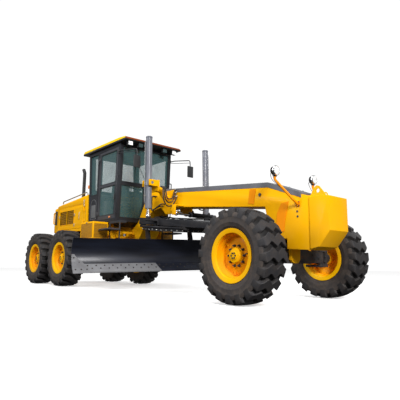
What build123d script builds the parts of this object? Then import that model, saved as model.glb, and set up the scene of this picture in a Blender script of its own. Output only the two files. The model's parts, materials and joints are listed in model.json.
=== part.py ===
"""Motor grader: articulated six-wheel machine with cab, boom frame, drawbar, circle and blade.

Millimetres. +X is forward, +Y is the machine's left and +Z is up. The origin lies on the ground,
at the middle of the machine's length and width.
"""

import os
from math import atan2, cos, degrees, pi, radians, sin

from build123d import *

# ---------------------------------------------------------------- driving sizes
FIT = 0.3                    # gap between seated pieces
RUNNING = 1.0                # radial gap of pins and shafts in their bores

FRONT_AXLE_X = 3540
WHEELBASE = 6400             # front axle to tandem pivot
TANDEM_SPREAD = 1540         # between the two rear axles
TRACK = 2155
HITCH_X = -600               # articulation pin
TANDEM_X = FRONT_AXLE_X - WHEELBASE
HALF_TRACK = TRACK / 2

# wheels
TYRE_RADIUS = 655
TYRE_WIDTH = 440
TYRE_WALL = 34
TREAD_DEPTH = 56
LUG_COUNT = 12
LUG_WIDTH = 136
LUG_ANGLE = 16               # the lugs lean, each side its own way
FLANGE_RADIUS = 365
FLANGE_OFFSET = 190          # rim flange face from the wheel's middle plane
BEAD_RADIUS = 318
RIM_WALL = 16
DISC_OFFSET = 40             # inner face of the wheel disc from the middle plane
HUB_RADIUS = 108
HUB_FACE = 132
SPINDLE_RADIUS = 60
SPINDLE_FACE = 96
AXLE_Z = TYRE_RADIUS

# front axle
KINGPIN_Y = HALF_TRACK - 217.5
LEAN_PIN_Y = KINGPIN_Y - 160
KINGPIN_RADIUS = 26
BEAM_HALF_DEPTH = 80         # along X
FORK_HALF_GAP = 43
LEAN_ARM = 235               # lean pin up to the lean bar
STEER_ARM = 165              # kingpin back to the tie rod
BOSS_HALF = 98               # kingpin boss above and below the axle's height
YOKE_THICK = 45
YOKE_LOW = AXLE_Z - BOSS_HALF - 3 - YOKE_THICK
ARM_THICK = 36
TIE_X = FRONT_AXLE_X - STEER_ARM
TIE_Y = KINGPIN_Y - 120
TIE_Z = YOKE_LOW + ARM_THICK + 54
TIE_RADIUS = 18
TIE_BALL = 26
LEAN_PIN_RADIUS = 30
LEAN_EYE_PIN = 14

# front frame
BOOM_HALF_WIDTH = 225
BOOM_REAR_X = 240
BOOM_REAR_TOP = 2070
BEND_X = 3340
BEND_TOP = 1790
BOOM_DEPTH = 340
NOSE_FACE_X = 4090
NOSE_TOP = 1520
NOSE_BOTTOM = 750
NOSE_BELLY = 925             # underside over the axle beam
PUSH_BLOCK_THICK = 320
PUSH_BLOCK_HALF_WIDTH = 237

# cab
CAB_FRONT_X = -400
CAB_REAR_X = -1850
CAB_HALF_WIDTH = 700
CAB_FLOOR_Z = 1450
CAB_TOP_Z = 3200
CAB_WALL = 60
DOOR_REAR_X = -1340
GLASS = 8
ROOF_HALF_WIDTH = 756
ROOF_FRONT_X = -80
ROOF_REAR_X = -2120
ROOF_THICK = 95

# engine end
HOOD_FRONT_X = -1880
HOOD_REAR_X = -3680
HOOD_HALF_WIDTH = 690
HOOD_TOP_FRONT = 2220
HOOD_TOP_REAR = 2095
HOOD_BOTTOM = 1330
HOOD_SKIN = 30
REAR_END_X = -4400
CASE_OUTER_Y = HALF_TRACK - TYRE_WIDTH / 2 - 57.5
CASE_INNER_Y = CASE_OUTER_Y - 210
RAIL_HALF_WIDTH = CASE_INNER_Y - 60
RAIL_WIDTH = 80
RAIL_BOTTOM = 960
RAIL_TOP = 1280
CASE_HALF_HEIGHT = 210

# blade gear
BALL_X = 3180
BALL_Z = 1050
CIRCLE_X = 840
CIRCLE_Z = 1290              # top face of the circle at its middle
DRAWBAR_ROLL = 2.4           # right side low, as it is carried
CIRCLE_RADIUS = 760
CIRCLE_ROOT_RADIUS = 655
CIRCLE_THICK = 92
TOOTH_COUNT = 54              # of the internal gear that turns the circle
TOOTH_DEPTH = 24
FLANGE_WIDTH = 27            # thin rim of the circle, held by the guide shoes
FLANGE_THICK = 26
BLADE_ANGLE = -10            # right end trails
BLADE_LENGTH = 4270
BLADE_HEIGHT = 610
BLADE_THICK = 20
LIFT_PIN_Y = 750
LIFT_PAD_Z = 1390
LIFT_TRUNNION_Z = 2090
LIFT_LEAN = 1.5              # foot forward of the head
LIFT_BARREL_RADIUS = 62
LIFT_BARREL_TOP = 3040
LIFT_BARREL_FOOT = LIFT_PAD_Z + 200
LIFT_ROD_RADIUS = 32
LIFT_BALL_RADIUS = 50
LIFT_BALL_GAP = 3            # ball above its seat, so that the seat can tilt under it
BRACKET_REACH = 60           # seat past the ball's middle

# side boxes and steps below the cab
BOX_REAR_X = -1370
BOX_FRONT_X = -780
BOX_INNER_Y = 715
BOX_OUTER_Y = 1080
BOX_BOTTOM = 1060
BOX_TOP = 1440
STEP_REAR_X = -730
STEP_FRONT_X = -270
STEP_INNER_Y = 705
STEP_OUTER_Y = 980
STEER_CYL_Y = 397            # articulation cylinders beside the hitch
STEER_CYL_Z = 1160

# cylinder that swings the drawbar
SWING_X = 1200
SWING_Z = 1500
SWING_EYE_Y = -360
EYE_RADIUS = 44
SWING_ROOT_Y = 600
SWING_BARREL_END = -20
BALL_RADIUS = 62
BALL_PIN = 24
LUG_GAP = 78                 # lug faces above and below the ball's middle
LUG_THICK = 30



# ---------------------------------------------------------------- shaping helpers
def side_slab(points, y_low, y_high, mode=Mode.ADD, rounding=0):
    """An outline in X and Z, run across from one Y to another."""
    with BuildSketch(Plane.XZ.offset(-y_high)) as outline:
        with BuildLine():
            Polyline(*points, close=True)
        make_face()
        if rounding:
            fillet(outline.vertices(), rounding)
    extrude(outline.sketch, amount=y_high - y_low, mode=mode)


def flat_slab(points, z_low, z_high, mode=Mode.ADD, rounding=0, plane=Plane.XY):
    """An outline in X and Y, run up from one height to another."""
    with BuildSketch(plane.offset(z_low)) as outline:
        with BuildLine():
            Polyline(*points, close=True)
        make_face()
        if rounding:
            fillet(outline.vertices(), rounding)
    extrude(outline.sketch, amount=z_high - z_low, mode=mode)


def cross_slab(points, x_low, x_high, mode=Mode.ADD, rounding=0):
    """An outline in Y and Z, run forward from one X to another."""
    with BuildSketch(Plane.YZ.offset(x_low)) as outline:
        with BuildLine():
            Polyline(*points, close=True)
        make_face()
        if rounding:
            fillet(outline.vertices(), rounding)
    extrude(outline.sketch, amount=x_high - x_low, mode=mode)


def block(x_low, x_high, y_low, y_high, z_low, z_high, mode=Mode.ADD, rounding=0):
    """A box between two corners, its upright edges rounded where asked."""
    corners = [(x_low, y_low), (x_high, y_low), (x_high, y_high), (x_low, y_high)]
    flat_slab(corners, z_low, z_high, mode, rounding)


def rod(start, end, radius, mode=Mode.ADD):
    """A round bar between two points."""
    run = Vector(*end) - Vector(*start)
    with BuildSketch(Plane(origin=start, z_dir=run)) as disc:
        Circle(radius)
    extrude(disc.sketch, amount=run.length, mode=mode)


def pipe(points, radius, bend):
    """A round bar bent along a route."""
    with BuildLine() as route:
        FilletPolyline(*points, radius=bend)
    with BuildSketch(Plane(origin=route.line @ 0, z_dir=route.line % 0)) as section:
        Circle(radius)
    sweep(section.sketch, path=route.line)


def turned(points, centre, side, mode=Mode.ADD):
    """A profile of (offset outboard, radius) points turned about a wheel's axis."""
    with BuildSketch(Plane(origin=centre, x_dir=(0, side, 0), z_dir=(side, 0, 0))) as profile:
        with BuildLine():
            Polyline(*points, close=True)
        make_face()
    revolve(profile.sketch, axis=Axis(centre, (0, 1, 0)), mode=mode)


def ring_slab(centre, inner, outer, low, high, plane, mode=Mode.ADD):
    """A flat ring about a point of a plane."""
    with BuildSketch(plane.offset(low)) as outline:
        with Locations(centre):
            Circle(outer)
            if inner:
                Circle(inner, mode=Mode.SUBTRACT)
    extrude(outline.sketch, amount=high - low, mode=mode)


def write(piece, label):
    """Names a finished piece and writes its file."""
    piece.part.label = label
    export_step(piece.part, f"parts/{label}.step")


os.makedirs("parts", exist_ok=True)

SIDES = (("left", 1), ("right", -1))

# ---------------------------------------------------------------- wheels
CARCASS_SECTIONS = [         # (offset from the middle plane, radius of the flat-sided carcass), bead to tread
    (FLANGE_OFFSET - 16, FLANGE_RADIUS + 5),
    (TYRE_WIDTH / 2 - 2, FLANGE_RADIUS + 150),
    (TYRE_WIDTH / 2 - 34, TYRE_RADIUS - TREAD_DEPTH + 4),
]
LUG_PROFILE = [              # (offset from the middle plane, radius) of one side's lug
    (6, TYRE_RADIUS - TREAD_DEPTH - 30),
    (6, TYRE_RADIUS - 4),
    (TYRE_WIDTH / 2 - 34, TYRE_RADIUS - 14),
    (TYRE_WIDTH / 2 - 9, TYRE_RADIUS - 110),
    (TYRE_WIDTH / 2 - 50, TYRE_RADIUS - 118),
]
WELL_RADIUS = BEAD_RADIUS - 28
RIM_PROFILE = [              # (offset outboard, radius), tyre side then open side and disc
    (FLANGE_OFFSET, FLANGE_RADIUS),
    (FLANGE_OFFSET - 15, FLANGE_RADIUS),
    (FLANGE_OFFSET - 15, BEAD_RADIUS),
    (FLANGE_OFFSET - 80, BEAD_RADIUS),
    (FLANGE_OFFSET - 100, WELL_RADIUS),
    (-FLANGE_OFFSET + 100, WELL_RADIUS),
    (-FLANGE_OFFSET + 80, BEAD_RADIUS),
    (-FLANGE_OFFSET + 15, BEAD_RADIUS),
    (-FLANGE_OFFSET + 15, FLANGE_RADIUS),
    (-FLANGE_OFFSET, FLANGE_RADIUS),
    (-FLANGE_OFFSET, FLANGE_RADIUS - 18),
    (-FLANGE_OFFSET + 10, BEAD_RADIUS - RIM_WALL),
    (-FLANGE_OFFSET + 86, BEAD_RADIUS - RIM_WALL),
    (-FLANGE_OFFSET + 106, WELL_RADIUS - RIM_WALL),
    (DISC_OFFSET - 22, WELL_RADIUS - RIM_WALL),
    (DISC_OFFSET, HUB_RADIUS + 60),
    (DISC_OFFSET, HUB_RADIUS - 20),
    (DISC_OFFSET + RIM_WALL, HUB_RADIUS - 20),
    (DISC_OFFSET + RIM_WALL, HUB_RADIUS + 60),
    (DISC_OFFSET, WELL_RADIUS - RIM_WALL),
    (FLANGE_OFFSET - 106, WELL_RADIUS - RIM_WALL),
    (FLANGE_OFFSET - 86, BEAD_RADIUS - RIM_WALL),
    (FLANGE_OFFSET - 10, BEAD_RADIUS - RIM_WALL),
    (FLANGE_OFFSET, FLANGE_RADIUS - 18),
]
HUB_PROFILE = [              # (offset outboard, radius): hub drum with its blind bore and cap
    (-60, SPINDLE_RADIUS + RUNNING),
    (SPINDLE_FACE + RUNNING, SPINDLE_RADIUS + RUNNING),
    (SPINDLE_FACE + RUNNING, 0),
    (HUB_FACE, 0),
    (HUB_FACE, HUB_RADIUS - 34),
    (HUB_FACE - 22, HUB_RADIUS),
    (-60, HUB_RADIUS),
]


with BuildPart() as tyre_blank:                # its axle along Z
    for offset, radius in [(-z, r) for z, r in CARCASS_SECTIONS] + CARCASS_SECTIONS[::-1]:
        with BuildSketch(Plane.XY.offset(offset)):
            RegularPolygon(radius, 2 * LUG_COUNT)
    loft(ruled=True)
    for number in range(LUG_COUNT):
        for half, stagger in ((1, 0), (-1, 0.5)):
            angle = (number + stagger) * 2 * pi / LUG_COUNT
            outward = Vector(cos(angle), sin(angle), 0)
            ahead = Vector(-sin(angle), cos(angle), 0)
            lean = radians(LUG_ANGLE)
            across = Vector(0, 0, half * cos(lean)) + ahead * (-sin(lean))
            with BuildSketch(Plane(origin=ahead * (LUG_WIDTH / 4), x_dir=across, z_dir=across.cross(outward))) as lug:
                with BuildLine():
                    Polyline(*LUG_PROFILE, close=True)
                make_face()
            extrude(lug.sketch, amount=LUG_WIDTH / 2, both=True)
    with BuildSketch(Plane.XY.offset(-TYRE_WIDTH)) as bore:
        RegularPolygon(BEAD_RADIUS + FIT, 2 * LUG_COUNT, major_radius=False)
    extrude(bore.sketch, amount=2 * TYRE_WIDTH, mode=Mode.SUBTRACT)


def build_wheel(name, centre, side):
    """Rim with hub, and the tyre on it."""
    with BuildPart() as rim:
        turned(RIM_PROFILE, centre, side)
        turned(HUB_PROFILE, centre, side)
    write(rim, f"rim_{name}")
    with BuildPart() as tyre:
        add(tyre_blank.part.moved(Location(centre, (-90 * side, 0, 0))))
    write(tyre, f"tyre_{name}")


for side_name, side in SIDES:
    build_wheel(f"front_{side_name}", (FRONT_AXLE_X, side * HALF_TRACK, AXLE_Z), side)
    for place, offset in (("middle", TANDEM_SPREAD / 2), ("rear", -TANDEM_SPREAD / 2)):
        build_wheel(f"{place}_{side_name}", (TANDEM_X + offset, side * HALF_TRACK, AXLE_Z), side)

# ---------------------------------------------------------------- tandem axle
with BuildPart() as tandem_axle:
    rod((TANDEM_X, -CASE_INNER_Y - 5, AXLE_Z + 70), (TANDEM_X, CASE_INNER_Y + 5, AXLE_Z + 70), 150)
    rod((TANDEM_X - 210, 0, AXLE_Z + 70), (TANDEM_X + 260, 0, AXLE_Z + 70), 235)
    for side_name, side in SIDES:
        inner, outer = sorted((side * CASE_INNER_Y, side * CASE_OUTER_Y))
        half = TANDEM_SPREAD / 2
        case = [
            (TANDEM_X - half - 210, AXLE_Z - 110), (TANDEM_X - half - 90, AXLE_Z - CASE_HALF_HEIGHT),
            (TANDEM_X + half + 90, AXLE_Z - CASE_HALF_HEIGHT), (TANDEM_X + half + 210, AXLE_Z - 110),
            (TANDEM_X + half + 210, AXLE_Z + 110), (TANDEM_X + half + 90, AXLE_Z + 170),
            (TANDEM_X + 260, AXLE_Z + CASE_HALF_HEIGHT + 60),
            (TANDEM_X - 260, AXLE_Z + CASE_HALF_HEIGHT + 60),
            (TANDEM_X - half - 90, AXLE_Z + 170), (TANDEM_X - half - 210, AXLE_Z + 110),
        ]
        side_slab(case, inner, outer, rounding=40)
        for offset in (-half, half):
            foot = (TANDEM_X + offset, side * (CASE_OUTER_Y - 5), AXLE_Z)
            rod(foot, (foot[0], side * (HALF_TRACK + SPINDLE_FACE), AXLE_Z), SPINDLE_RADIUS)
            rod(foot, (foot[0], side * (HALF_TRACK - 64), AXLE_Z), SPINDLE_RADIUS + 70)
write(tandem_axle, "tandem_axle")

# ---------------------------------------------------------------- front axle
with BuildPart() as front_axle_beam:
    beam = [
        (-LEAN_PIN_Y, AXLE_Z - 72), (-LEAN_PIN_Y + 250, AXLE_Z - 95), (LEAN_PIN_Y - 250, AXLE_Z - 95),
        (LEAN_PIN_Y, AXLE_Z - 72), (LEAN_PIN_Y, AXLE_Z + 72), (LEAN_PIN_Y - 280, AXLE_Z + 110),
        (260, AXLE_Z + 180), (-260, AXLE_Z + 180), (-LEAN_PIN_Y + 280, AXLE_Z + 110),
        (-LEAN_PIN_Y, AXLE_Z + 72),
    ]
    front, back = FRONT_AXLE_X + BEAM_HALF_DEPTH, FRONT_AXLE_X - BEAM_HALF_DEPTH
    cross_slab(beam, back, front)
    for side_name, side in SIDES:
        rod((back, side * LEAN_PIN_Y, AXLE_Z), (front, side * LEAN_PIN_Y, AXLE_Z), 72)
        near, far = sorted((side * (LEAN_PIN_Y - 90), side * (LEAN_PIN_Y + 120)))
        block(FRONT_AXLE_X - FORK_HALF_GAP, FRONT_AXLE_X + FORK_HALF_GAP, near, far, AXLE_Z - 200,
              AXLE_Z + 200, mode=Mode.SUBTRACT)
        rod((back - 12, side * LEAN_PIN_Y, AXLE_Z), (front + 12, side * LEAN_PIN_Y, AXLE_Z), LEAN_PIN_RADIUS)
    rod((FRONT_AXLE_X - BEAM_HALF_DEPTH - 10 + FIT, 0, AXLE_Z),
        (FRONT_AXLE_X + BEAM_HALF_DEPTH + 10 - FIT, 0, AXLE_Z), 70)
    # steering cylinder: its rod runs right through to both knuckles
    for side in (-1, 1):
        rod((TIE_X, side * 170, TIE_Z), (TIE_X, side * 470, TIE_Z), 34)
        for lug_y in (200, 400):
            near, far = sorted((side * lug_y, side * (lug_y + 40)))
            block(TIE_X - 4, FRONT_AXLE_X - BEAM_HALF_DEPTH + 30, near, far, TIE_Z - 26, TIE_Z + 30)
        rod((TIE_X, side * 160, TIE_Z), (TIE_X, side * 480, TIE_Z), TIE_RADIUS + RUNNING, mode=Mode.SUBTRACT)
write(front_axle_beam, "front_axle_beam")

for side_name, side in SIDES:
    with BuildPart() as lean_support:
        hub_face = FORK_HALF_GAP - 2
        rod((FRONT_AXLE_X - hub_face, side * LEAN_PIN_Y, AXLE_Z),
            (FRONT_AXLE_X + hub_face, side * LEAN_PIN_Y, AXLE_Z), 62)
        web = [
            (side * (LEAN_PIN_Y - 30), AXLE_Z - 45), (side * (LEAN_PIN_Y + 40), AXLE_Z - BOSS_HALF + 12),
            (side * KINGPIN_Y, AXLE_Z - BOSS_HALF), (side * KINGPIN_Y, AXLE_Z + BOSS_HALF),
            (side * (LEAN_PIN_Y + 60), AXLE_Z + BOSS_HALF),
            (side * (LEAN_PIN_Y + 30), AXLE_Z + LEAN_ARM + 34),
            (side * (LEAN_PIN_Y - 30), AXLE_Z + LEAN_ARM + 34), (side * (LEAN_PIN_Y - 42), AXLE_Z + 60),
        ]
        cross_slab(web, FRONT_AXLE_X - hub_face, FRONT_AXLE_X + hub_face)
        rod((FRONT_AXLE_X, side * KINGPIN_Y, AXLE_Z - BOSS_HALF),
            (FRONT_AXLE_X, side * KINGPIN_Y, AXLE_Z + BOSS_HALF), 54)
        rod((FRONT_AXLE_X - 60, side * LEAN_PIN_Y, AXLE_Z),
            (FRONT_AXLE_X + 60, side * LEAN_PIN_Y, AXLE_Z), LEAN_PIN_RADIUS + RUNNING, mode=Mode.SUBTRACT)
        rod((FRONT_AXLE_X, side * KINGPIN_Y, AXLE_Z - 150), (FRONT_AXLE_X, side * KINGPIN_Y, AXLE_Z + 150),
            KINGPIN_RADIUS)
        slot = sorted((side * (LEAN_PIN_Y - 60), side * (LEAN_PIN_Y + 60)))
        block(FRONT_AXLE_X - 22, FRONT_AXLE_X + 22, *slot, AXLE_Z + LEAN_ARM - 40, AXLE_Z + LEAN_ARM + 50,
              mode=Mode.SUBTRACT)
        rod((FRONT_AXLE_X - 30, side * LEAN_PIN_Y, AXLE_Z + LEAN_ARM),
            (FRONT_AXLE_X + 30, side * LEAN_PIN_Y, AXLE_Z + LEAN_ARM), LEAN_EYE_PIN)
    write(lean_support, f"lean_support_{side_name}")

    with BuildPart() as knuckle:
        pin_top = AXLE_Z + BOSS_HALF + 3
        ear = [
            (FRONT_AXLE_X - 50, side * (KINGPIN_Y - 20)), (FRONT_AXLE_X + 50, side * (KINGPIN_Y - 20)),
            (FRONT_AXLE_X + 70, side * (KINGPIN_Y + 118)), (FRONT_AXLE_X - 70, side * (KINGPIN_Y + 118)),
        ]
        for ear_z in (YOKE_LOW, pin_top):
            flat_slab(ear, ear_z, ear_z + YOKE_THICK)
            rod((FRONT_AXLE_X, side * KINGPIN_Y, ear_z), (FRONT_AXLE_X, side * KINGPIN_Y, ear_z + YOKE_THICK), 52)
        near, far = sorted((side * (KINGPIN_Y + 66), side * (KINGPIN_Y + 118)))
        block(FRONT_AXLE_X - 66, FRONT_AXLE_X + 66, near, far, YOKE_LOW, pin_top + YOKE_THICK)
        rod((FRONT_AXLE_X, side * (KINGPIN_Y + 80), AXLE_Z),
            (FRONT_AXLE_X, side * (HALF_TRACK + SPINDLE_FACE), AXLE_Z), SPINDLE_RADIUS)
        rod((FRONT_AXLE_X, side * (KINGPIN_Y + 80), AXLE_Z),
            (FRONT_AXLE_X, side * (HALF_TRACK - 64), AXLE_Z), 92)
        # steering arm, back and inward from the lower ear
        arm = [
            (FRONT_AXLE_X - 10, side * (KINGPIN_Y - 40)), (TIE_X + 30, side * (TIE_Y - 26)),
            (TIE_X - 20, side * (TIE_Y - 22)), (TIE_X - 20, side * (TIE_Y + 22)),
            (FRONT_AXLE_X - 60, side * (KINGPIN_Y + 10)), (FRONT_AXLE_X - 30, side * (KINGPIN_Y + 30)),
        ]
        flat_slab(arm, YOKE_LOW, YOKE_LOW + ARM_THICK)
        for pin_low, pin_high in ((YOKE_LOW - 1, YOKE_LOW + YOKE_THICK + 1),
                                  (pin_top - 1, pin_top + YOKE_THICK + 1)):
            rod((FRONT_AXLE_X, side * KINGPIN_Y, pin_low), (FRONT_AXLE_X, side * KINGPIN_Y, pin_high),
                KINGPIN_RADIUS + RUNNING, mode=Mode.SUBTRACT)
    write(knuckle, f"steering_knuckle_{side_name}")

with BuildPart() as tie_rod:
    rod((TIE_X, -TIE_Y, TIE_Z), (TIE_X, TIE_Y, TIE_Z), TIE_RADIUS)
    for side in (-1, 1):
        with Locations((TIE_X, side * TIE_Y, TIE_Z)):
            Sphere(TIE_BALL)
write(tie_rod, "tie_rod")

LEAN_BAR_Z = AXLE_Z + LEAN_ARM
with BuildPart() as lean_bar:
    rod((FRONT_AXLE_X, -LEAN_PIN_Y, LEAN_BAR_Z), (FRONT_AXLE_X, LEAN_PIN_Y, LEAN_BAR_Z), 18)
    for side in (-1, 1):
        near, far = sorted((side * (LEAN_PIN_Y - 34), side * (LEAN_PIN_Y + 30)))
        block(FRONT_AXLE_X - 18, FRONT_AXLE_X + 18, near, far, LEAN_BAR_Z - 34, LEAN_BAR_Z + 26)
    # upright slots in the eyes let the supports' pins drop as they lean
    for side in (-1, 1):
        half_slot = LEAN_EYE_PIN + 1.6
        near, far = sorted((side * LEAN_PIN_Y - half_slot, side * LEAN_PIN_Y + half_slot))
        block(FRONT_AXLE_X - 20, FRONT_AXLE_X + 20, near, far, LEAN_BAR_Z - LEAN_EYE_PIN - 12,
              LEAN_BAR_Z + LEAN_EYE_PIN + 0.8, mode=Mode.SUBTRACT)
write(lean_bar, "lean_bar")



def hinge_leaf(x, wall_y, side, z, toward, moving):
    """Half of a butt hinge beside a wall: barrel and strap, or the two lugs with their pin."""
    axis_y = side * (wall_y + HINGE_OUT)
    low_y, high_y = sorted((side * (wall_y - 1), side * (wall_y + HINGE_OUT - 4)))
    near, far = sorted((x + toward * HINGE_OUT / 2, x + toward * 50))
    if moving:
        block(near, far, low_y, high_y, z - HINGE_HALF, z + HINGE_HALF)
        lean = sorted((x, x + toward * (HINGE_OUT / 2 + 2)))
        block(*lean, *sorted((axis_y - side * 10, axis_y - side * 3)), z - HINGE_HALF, z + HINGE_HALF)
        rod((x, axis_y, z - HINGE_HALF), (x, axis_y, z + HINGE_HALF), HINGE_BARREL)
        rod((x, axis_y, z - HINGE_HALF - 1), (x, axis_y, z + HINGE_HALF + 1), HINGE_PIN + RUNNING,
            mode=Mode.SUBTRACT)
    else:
        for low, high in ((z - HINGE_HALF - 24, z - HINGE_HALF - 2), (z + HINGE_HALF + 2, z + HINGE_HALF + 24)):
            block(near, far, low_y, high_y, low, high)
            lean = sorted((x, x + toward * (HINGE_OUT / 2 + 2)))
            block(*lean, *sorted((axis_y - side * 10, axis_y - side * 3)), low, high)
            rod((x, axis_y, low), (x, axis_y, high), HINGE_BARREL)
        rod((x, axis_y, z - HINGE_HALF - 20), (x, axis_y, z + HINGE_HALF + 20), HINGE_PIN)


HINGE_OUT = 16               # hinge axis outside the wall
HINGE_HALF = 40
HINGE_BARREL = 11
HINGE_PIN = 6

# ---------------------------------------------------------------- front frame
boom_slope = (BEND_TOP - BOOM_REAR_TOP) / (BEND_X - BOOM_REAR_X)
HITCH_BOTTOM = 760
HITCH_TOP = 1300
HITCH_PIN_RADIUS = 45
with BuildPart() as main_frame:
    boom = [
        (BOOM_REAR_X, BOOM_REAR_TOP), (BEND_X, BEND_TOP), (NOSE_FACE_X - 60, NOSE_TOP + 10),
        (NOSE_FACE_X, NOSE_TOP), (NOSE_FACE_X, NOSE_BOTTOM), (FRONT_AXLE_X + 150, NOSE_BOTTOM + 20),
        (FRONT_AXLE_X + 150, NOSE_BELLY), (FRONT_AXLE_X - 150, NOSE_BELLY),
        (BEND_X + 10, 1080), (BEND_X - 60, BEND_TOP - BOOM_DEPTH - 10),
        (1180, 1640), (500, 1690), (200, 1640), (-40, 1470), (-180, 1200),
        (HITCH_X + 170, 900), (HITCH_X + 120, HITCH_BOTTOM), (HITCH_X - 90, HITCH_BOTTOM),
        (HITCH_X - 90, HITCH_TOP - 60), (HITCH_X + 60, HITCH_TOP), (-330, 1440), (-60, 1900), (60, 2040),
    ]
    side_slab(boom, -BOOM_HALF_WIDTH, BOOM_HALF_WIDTH)
    # hitch fork: the rear frame's tongue turns in the gap
    flat_slab([(HITCH_X - 140, -300), (HITCH_X + 150, -300), (HITCH_X + 150, 300), (HITCH_X - 140, 300)],
              HITCH_BOTTOM + 70, HITCH_TOP - 130, mode=Mode.SUBTRACT)
    # side ears for the articulation cylinders
    for side in (-1, 1):
        near, far = sorted((side * 200, side * 450))
        block(HITCH_X - 50, HITCH_X + 60, near, far, HITCH_TOP - 110, HITCH_TOP - 70)
    rod((HITCH_X, 0, HITCH_BOTTOM - 10), (HITCH_X, 0, HITCH_TOP + 10), HITCH_PIN_RADIUS)
    # axle pin brackets before and behind the beam
    for face in (FRONT_AXLE_X + BEAM_HALF_DEPTH + 10, FRONT_AXLE_X - BEAM_HALF_DEPTH - 55):
        cross_slab([(-110, AXLE_Z - 40), (-60, AXLE_Z - 90), (60, AXLE_Z - 90), (110, AXLE_Z - 40),
                    (130, NOSE_BELLY + 30), (-130, NOSE_BELLY + 30)], face, face + 45)
    # lugs above and below the drawbar's ball, on a bracket behind the nose
    side_slab([(BALL_X + 130, BALL_Z - LUG_GAP - LUG_THICK), (BEND_X + 60, BALL_Z - LUG_GAP - LUG_THICK),
               (BEND_X + 60, BEND_TOP - 400), (BALL_X + 130, BEND_TOP - 400)], -90, 90)
    for lug_z in (BALL_Z - LUG_GAP - LUG_THICK, BALL_Z + LUG_GAP):
        flat_slab([(BALL_X, -55), (BALL_X + 140, -85), (BALL_X + 140, 85), (BALL_X, 55)], lug_z, lug_z + LUG_THICK)
        rod((BALL_X, 0, lug_z), (BALL_X, 0, lug_z + LUG_THICK), 55)
        rod((BALL_X, 0, lug_z - 1), (BALL_X, 0, lug_z + LUG_THICK + 1), BALL_PIN + RUNNING, mode=Mode.SUBTRACT)
    # lifting plate with its hole
    side_slab([(NOSE_FACE_X - 110, NOSE_TOP + 10), (NOSE_FACE_X - 8, NOSE_TOP - 6), (NOSE_FACE_X - 32, NOSE_TOP + 125),
               (NOSE_FACE_X - 74, NOSE_TOP + 145)], -14, 14)
    rod((NOSE_FACE_X - 55, -20, NOSE_TOP + 95), (NOSE_FACE_X - 55, 20, NOSE_TOP + 95), 23, mode=Mode.SUBTRACT)
    # plate that the swing cylinder's eye hangs beside
    swing_plate = [SWING_EYE_Y - EYE_RADIUS - FIT - 22, SWING_EYE_Y - EYE_RADIUS - FIT]
    block(SWING_X - 50, SWING_X + 50, *swing_plate, SWING_Z - 30, SWING_Z + 170)
    block(SWING_X - 50, SWING_X + 50, swing_plate[0], -BOOM_HALF_WIDTH + 1, SWING_Z + 145, SWING_Z + 170)
write(main_frame, "main_frame")

NOSE_SLOPE = (NOSE_TOP + 10 - BEND_TOP) / (NOSE_FACE_X - 60 - BEND_X)
COVER_THICK = 30
with BuildPart() as frame_cover:
    start, end = BOOM_REAR_X + 300, NOSE_FACE_X - 130
    run = [(start, BOOM_REAR_TOP + boom_slope * (start - BOOM_REAR_X)), (BEND_X, BEND_TOP),
           (end, BEND_TOP + NOSE_SLOPE * (end - BEND_X))]
    side_slab([(x, z + FIT) for x, z in run] + [(x, z + COVER_THICK) for x, z in reversed(run)],
              -BOOM_HALF_WIDTH, BOOM_HALF_WIDTH)
write(frame_cover, "frame_cover")

with BuildPart() as push_block:
    back = NOSE_FACE_X + FIT
    side_slab([(back, NOSE_TOP - 20), (NOSE_FACE_X + PUSH_BLOCK_THICK, NOSE_TOP - 30),
               (NOSE_FACE_X + PUSH_BLOCK_THICK, 1010), (NOSE_FACE_X + 140, 790), (back, 760)],
              -PUSH_BLOCK_HALF_WIDTH, PUSH_BLOCK_HALF_WIDTH, rounding=12)
write(push_block, "push_block")

# work lamps on bent arms beside the nose
LAMP_X, LAMP_Y, LAMP_Z = 3690, 490, 1905
with BuildPart() as head_lamps:
    for side in (-1, 1):
        pipe([(3900, side * (BOOM_HALF_WIDTH + 14), 1420), (3890, side * 330, 1470),
              (LAMP_X, side * LAMP_Y, LAMP_Z - 120), (LAMP_X, side * LAMP_Y, LAMP_Z - 40)], 14, 12)
        block(3860, 3940, *sorted((side * (BOOM_HALF_WIDTH + FIT), side * (BOOM_HALF_WIDTH + 16))), 1380, 1460)
        rod((LAMP_X - 45, side * LAMP_Y, LAMP_Z), (LAMP_X + 45, side * LAMP_Y, LAMP_Z), 75)
write(head_lamps, "head_lamps")

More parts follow.
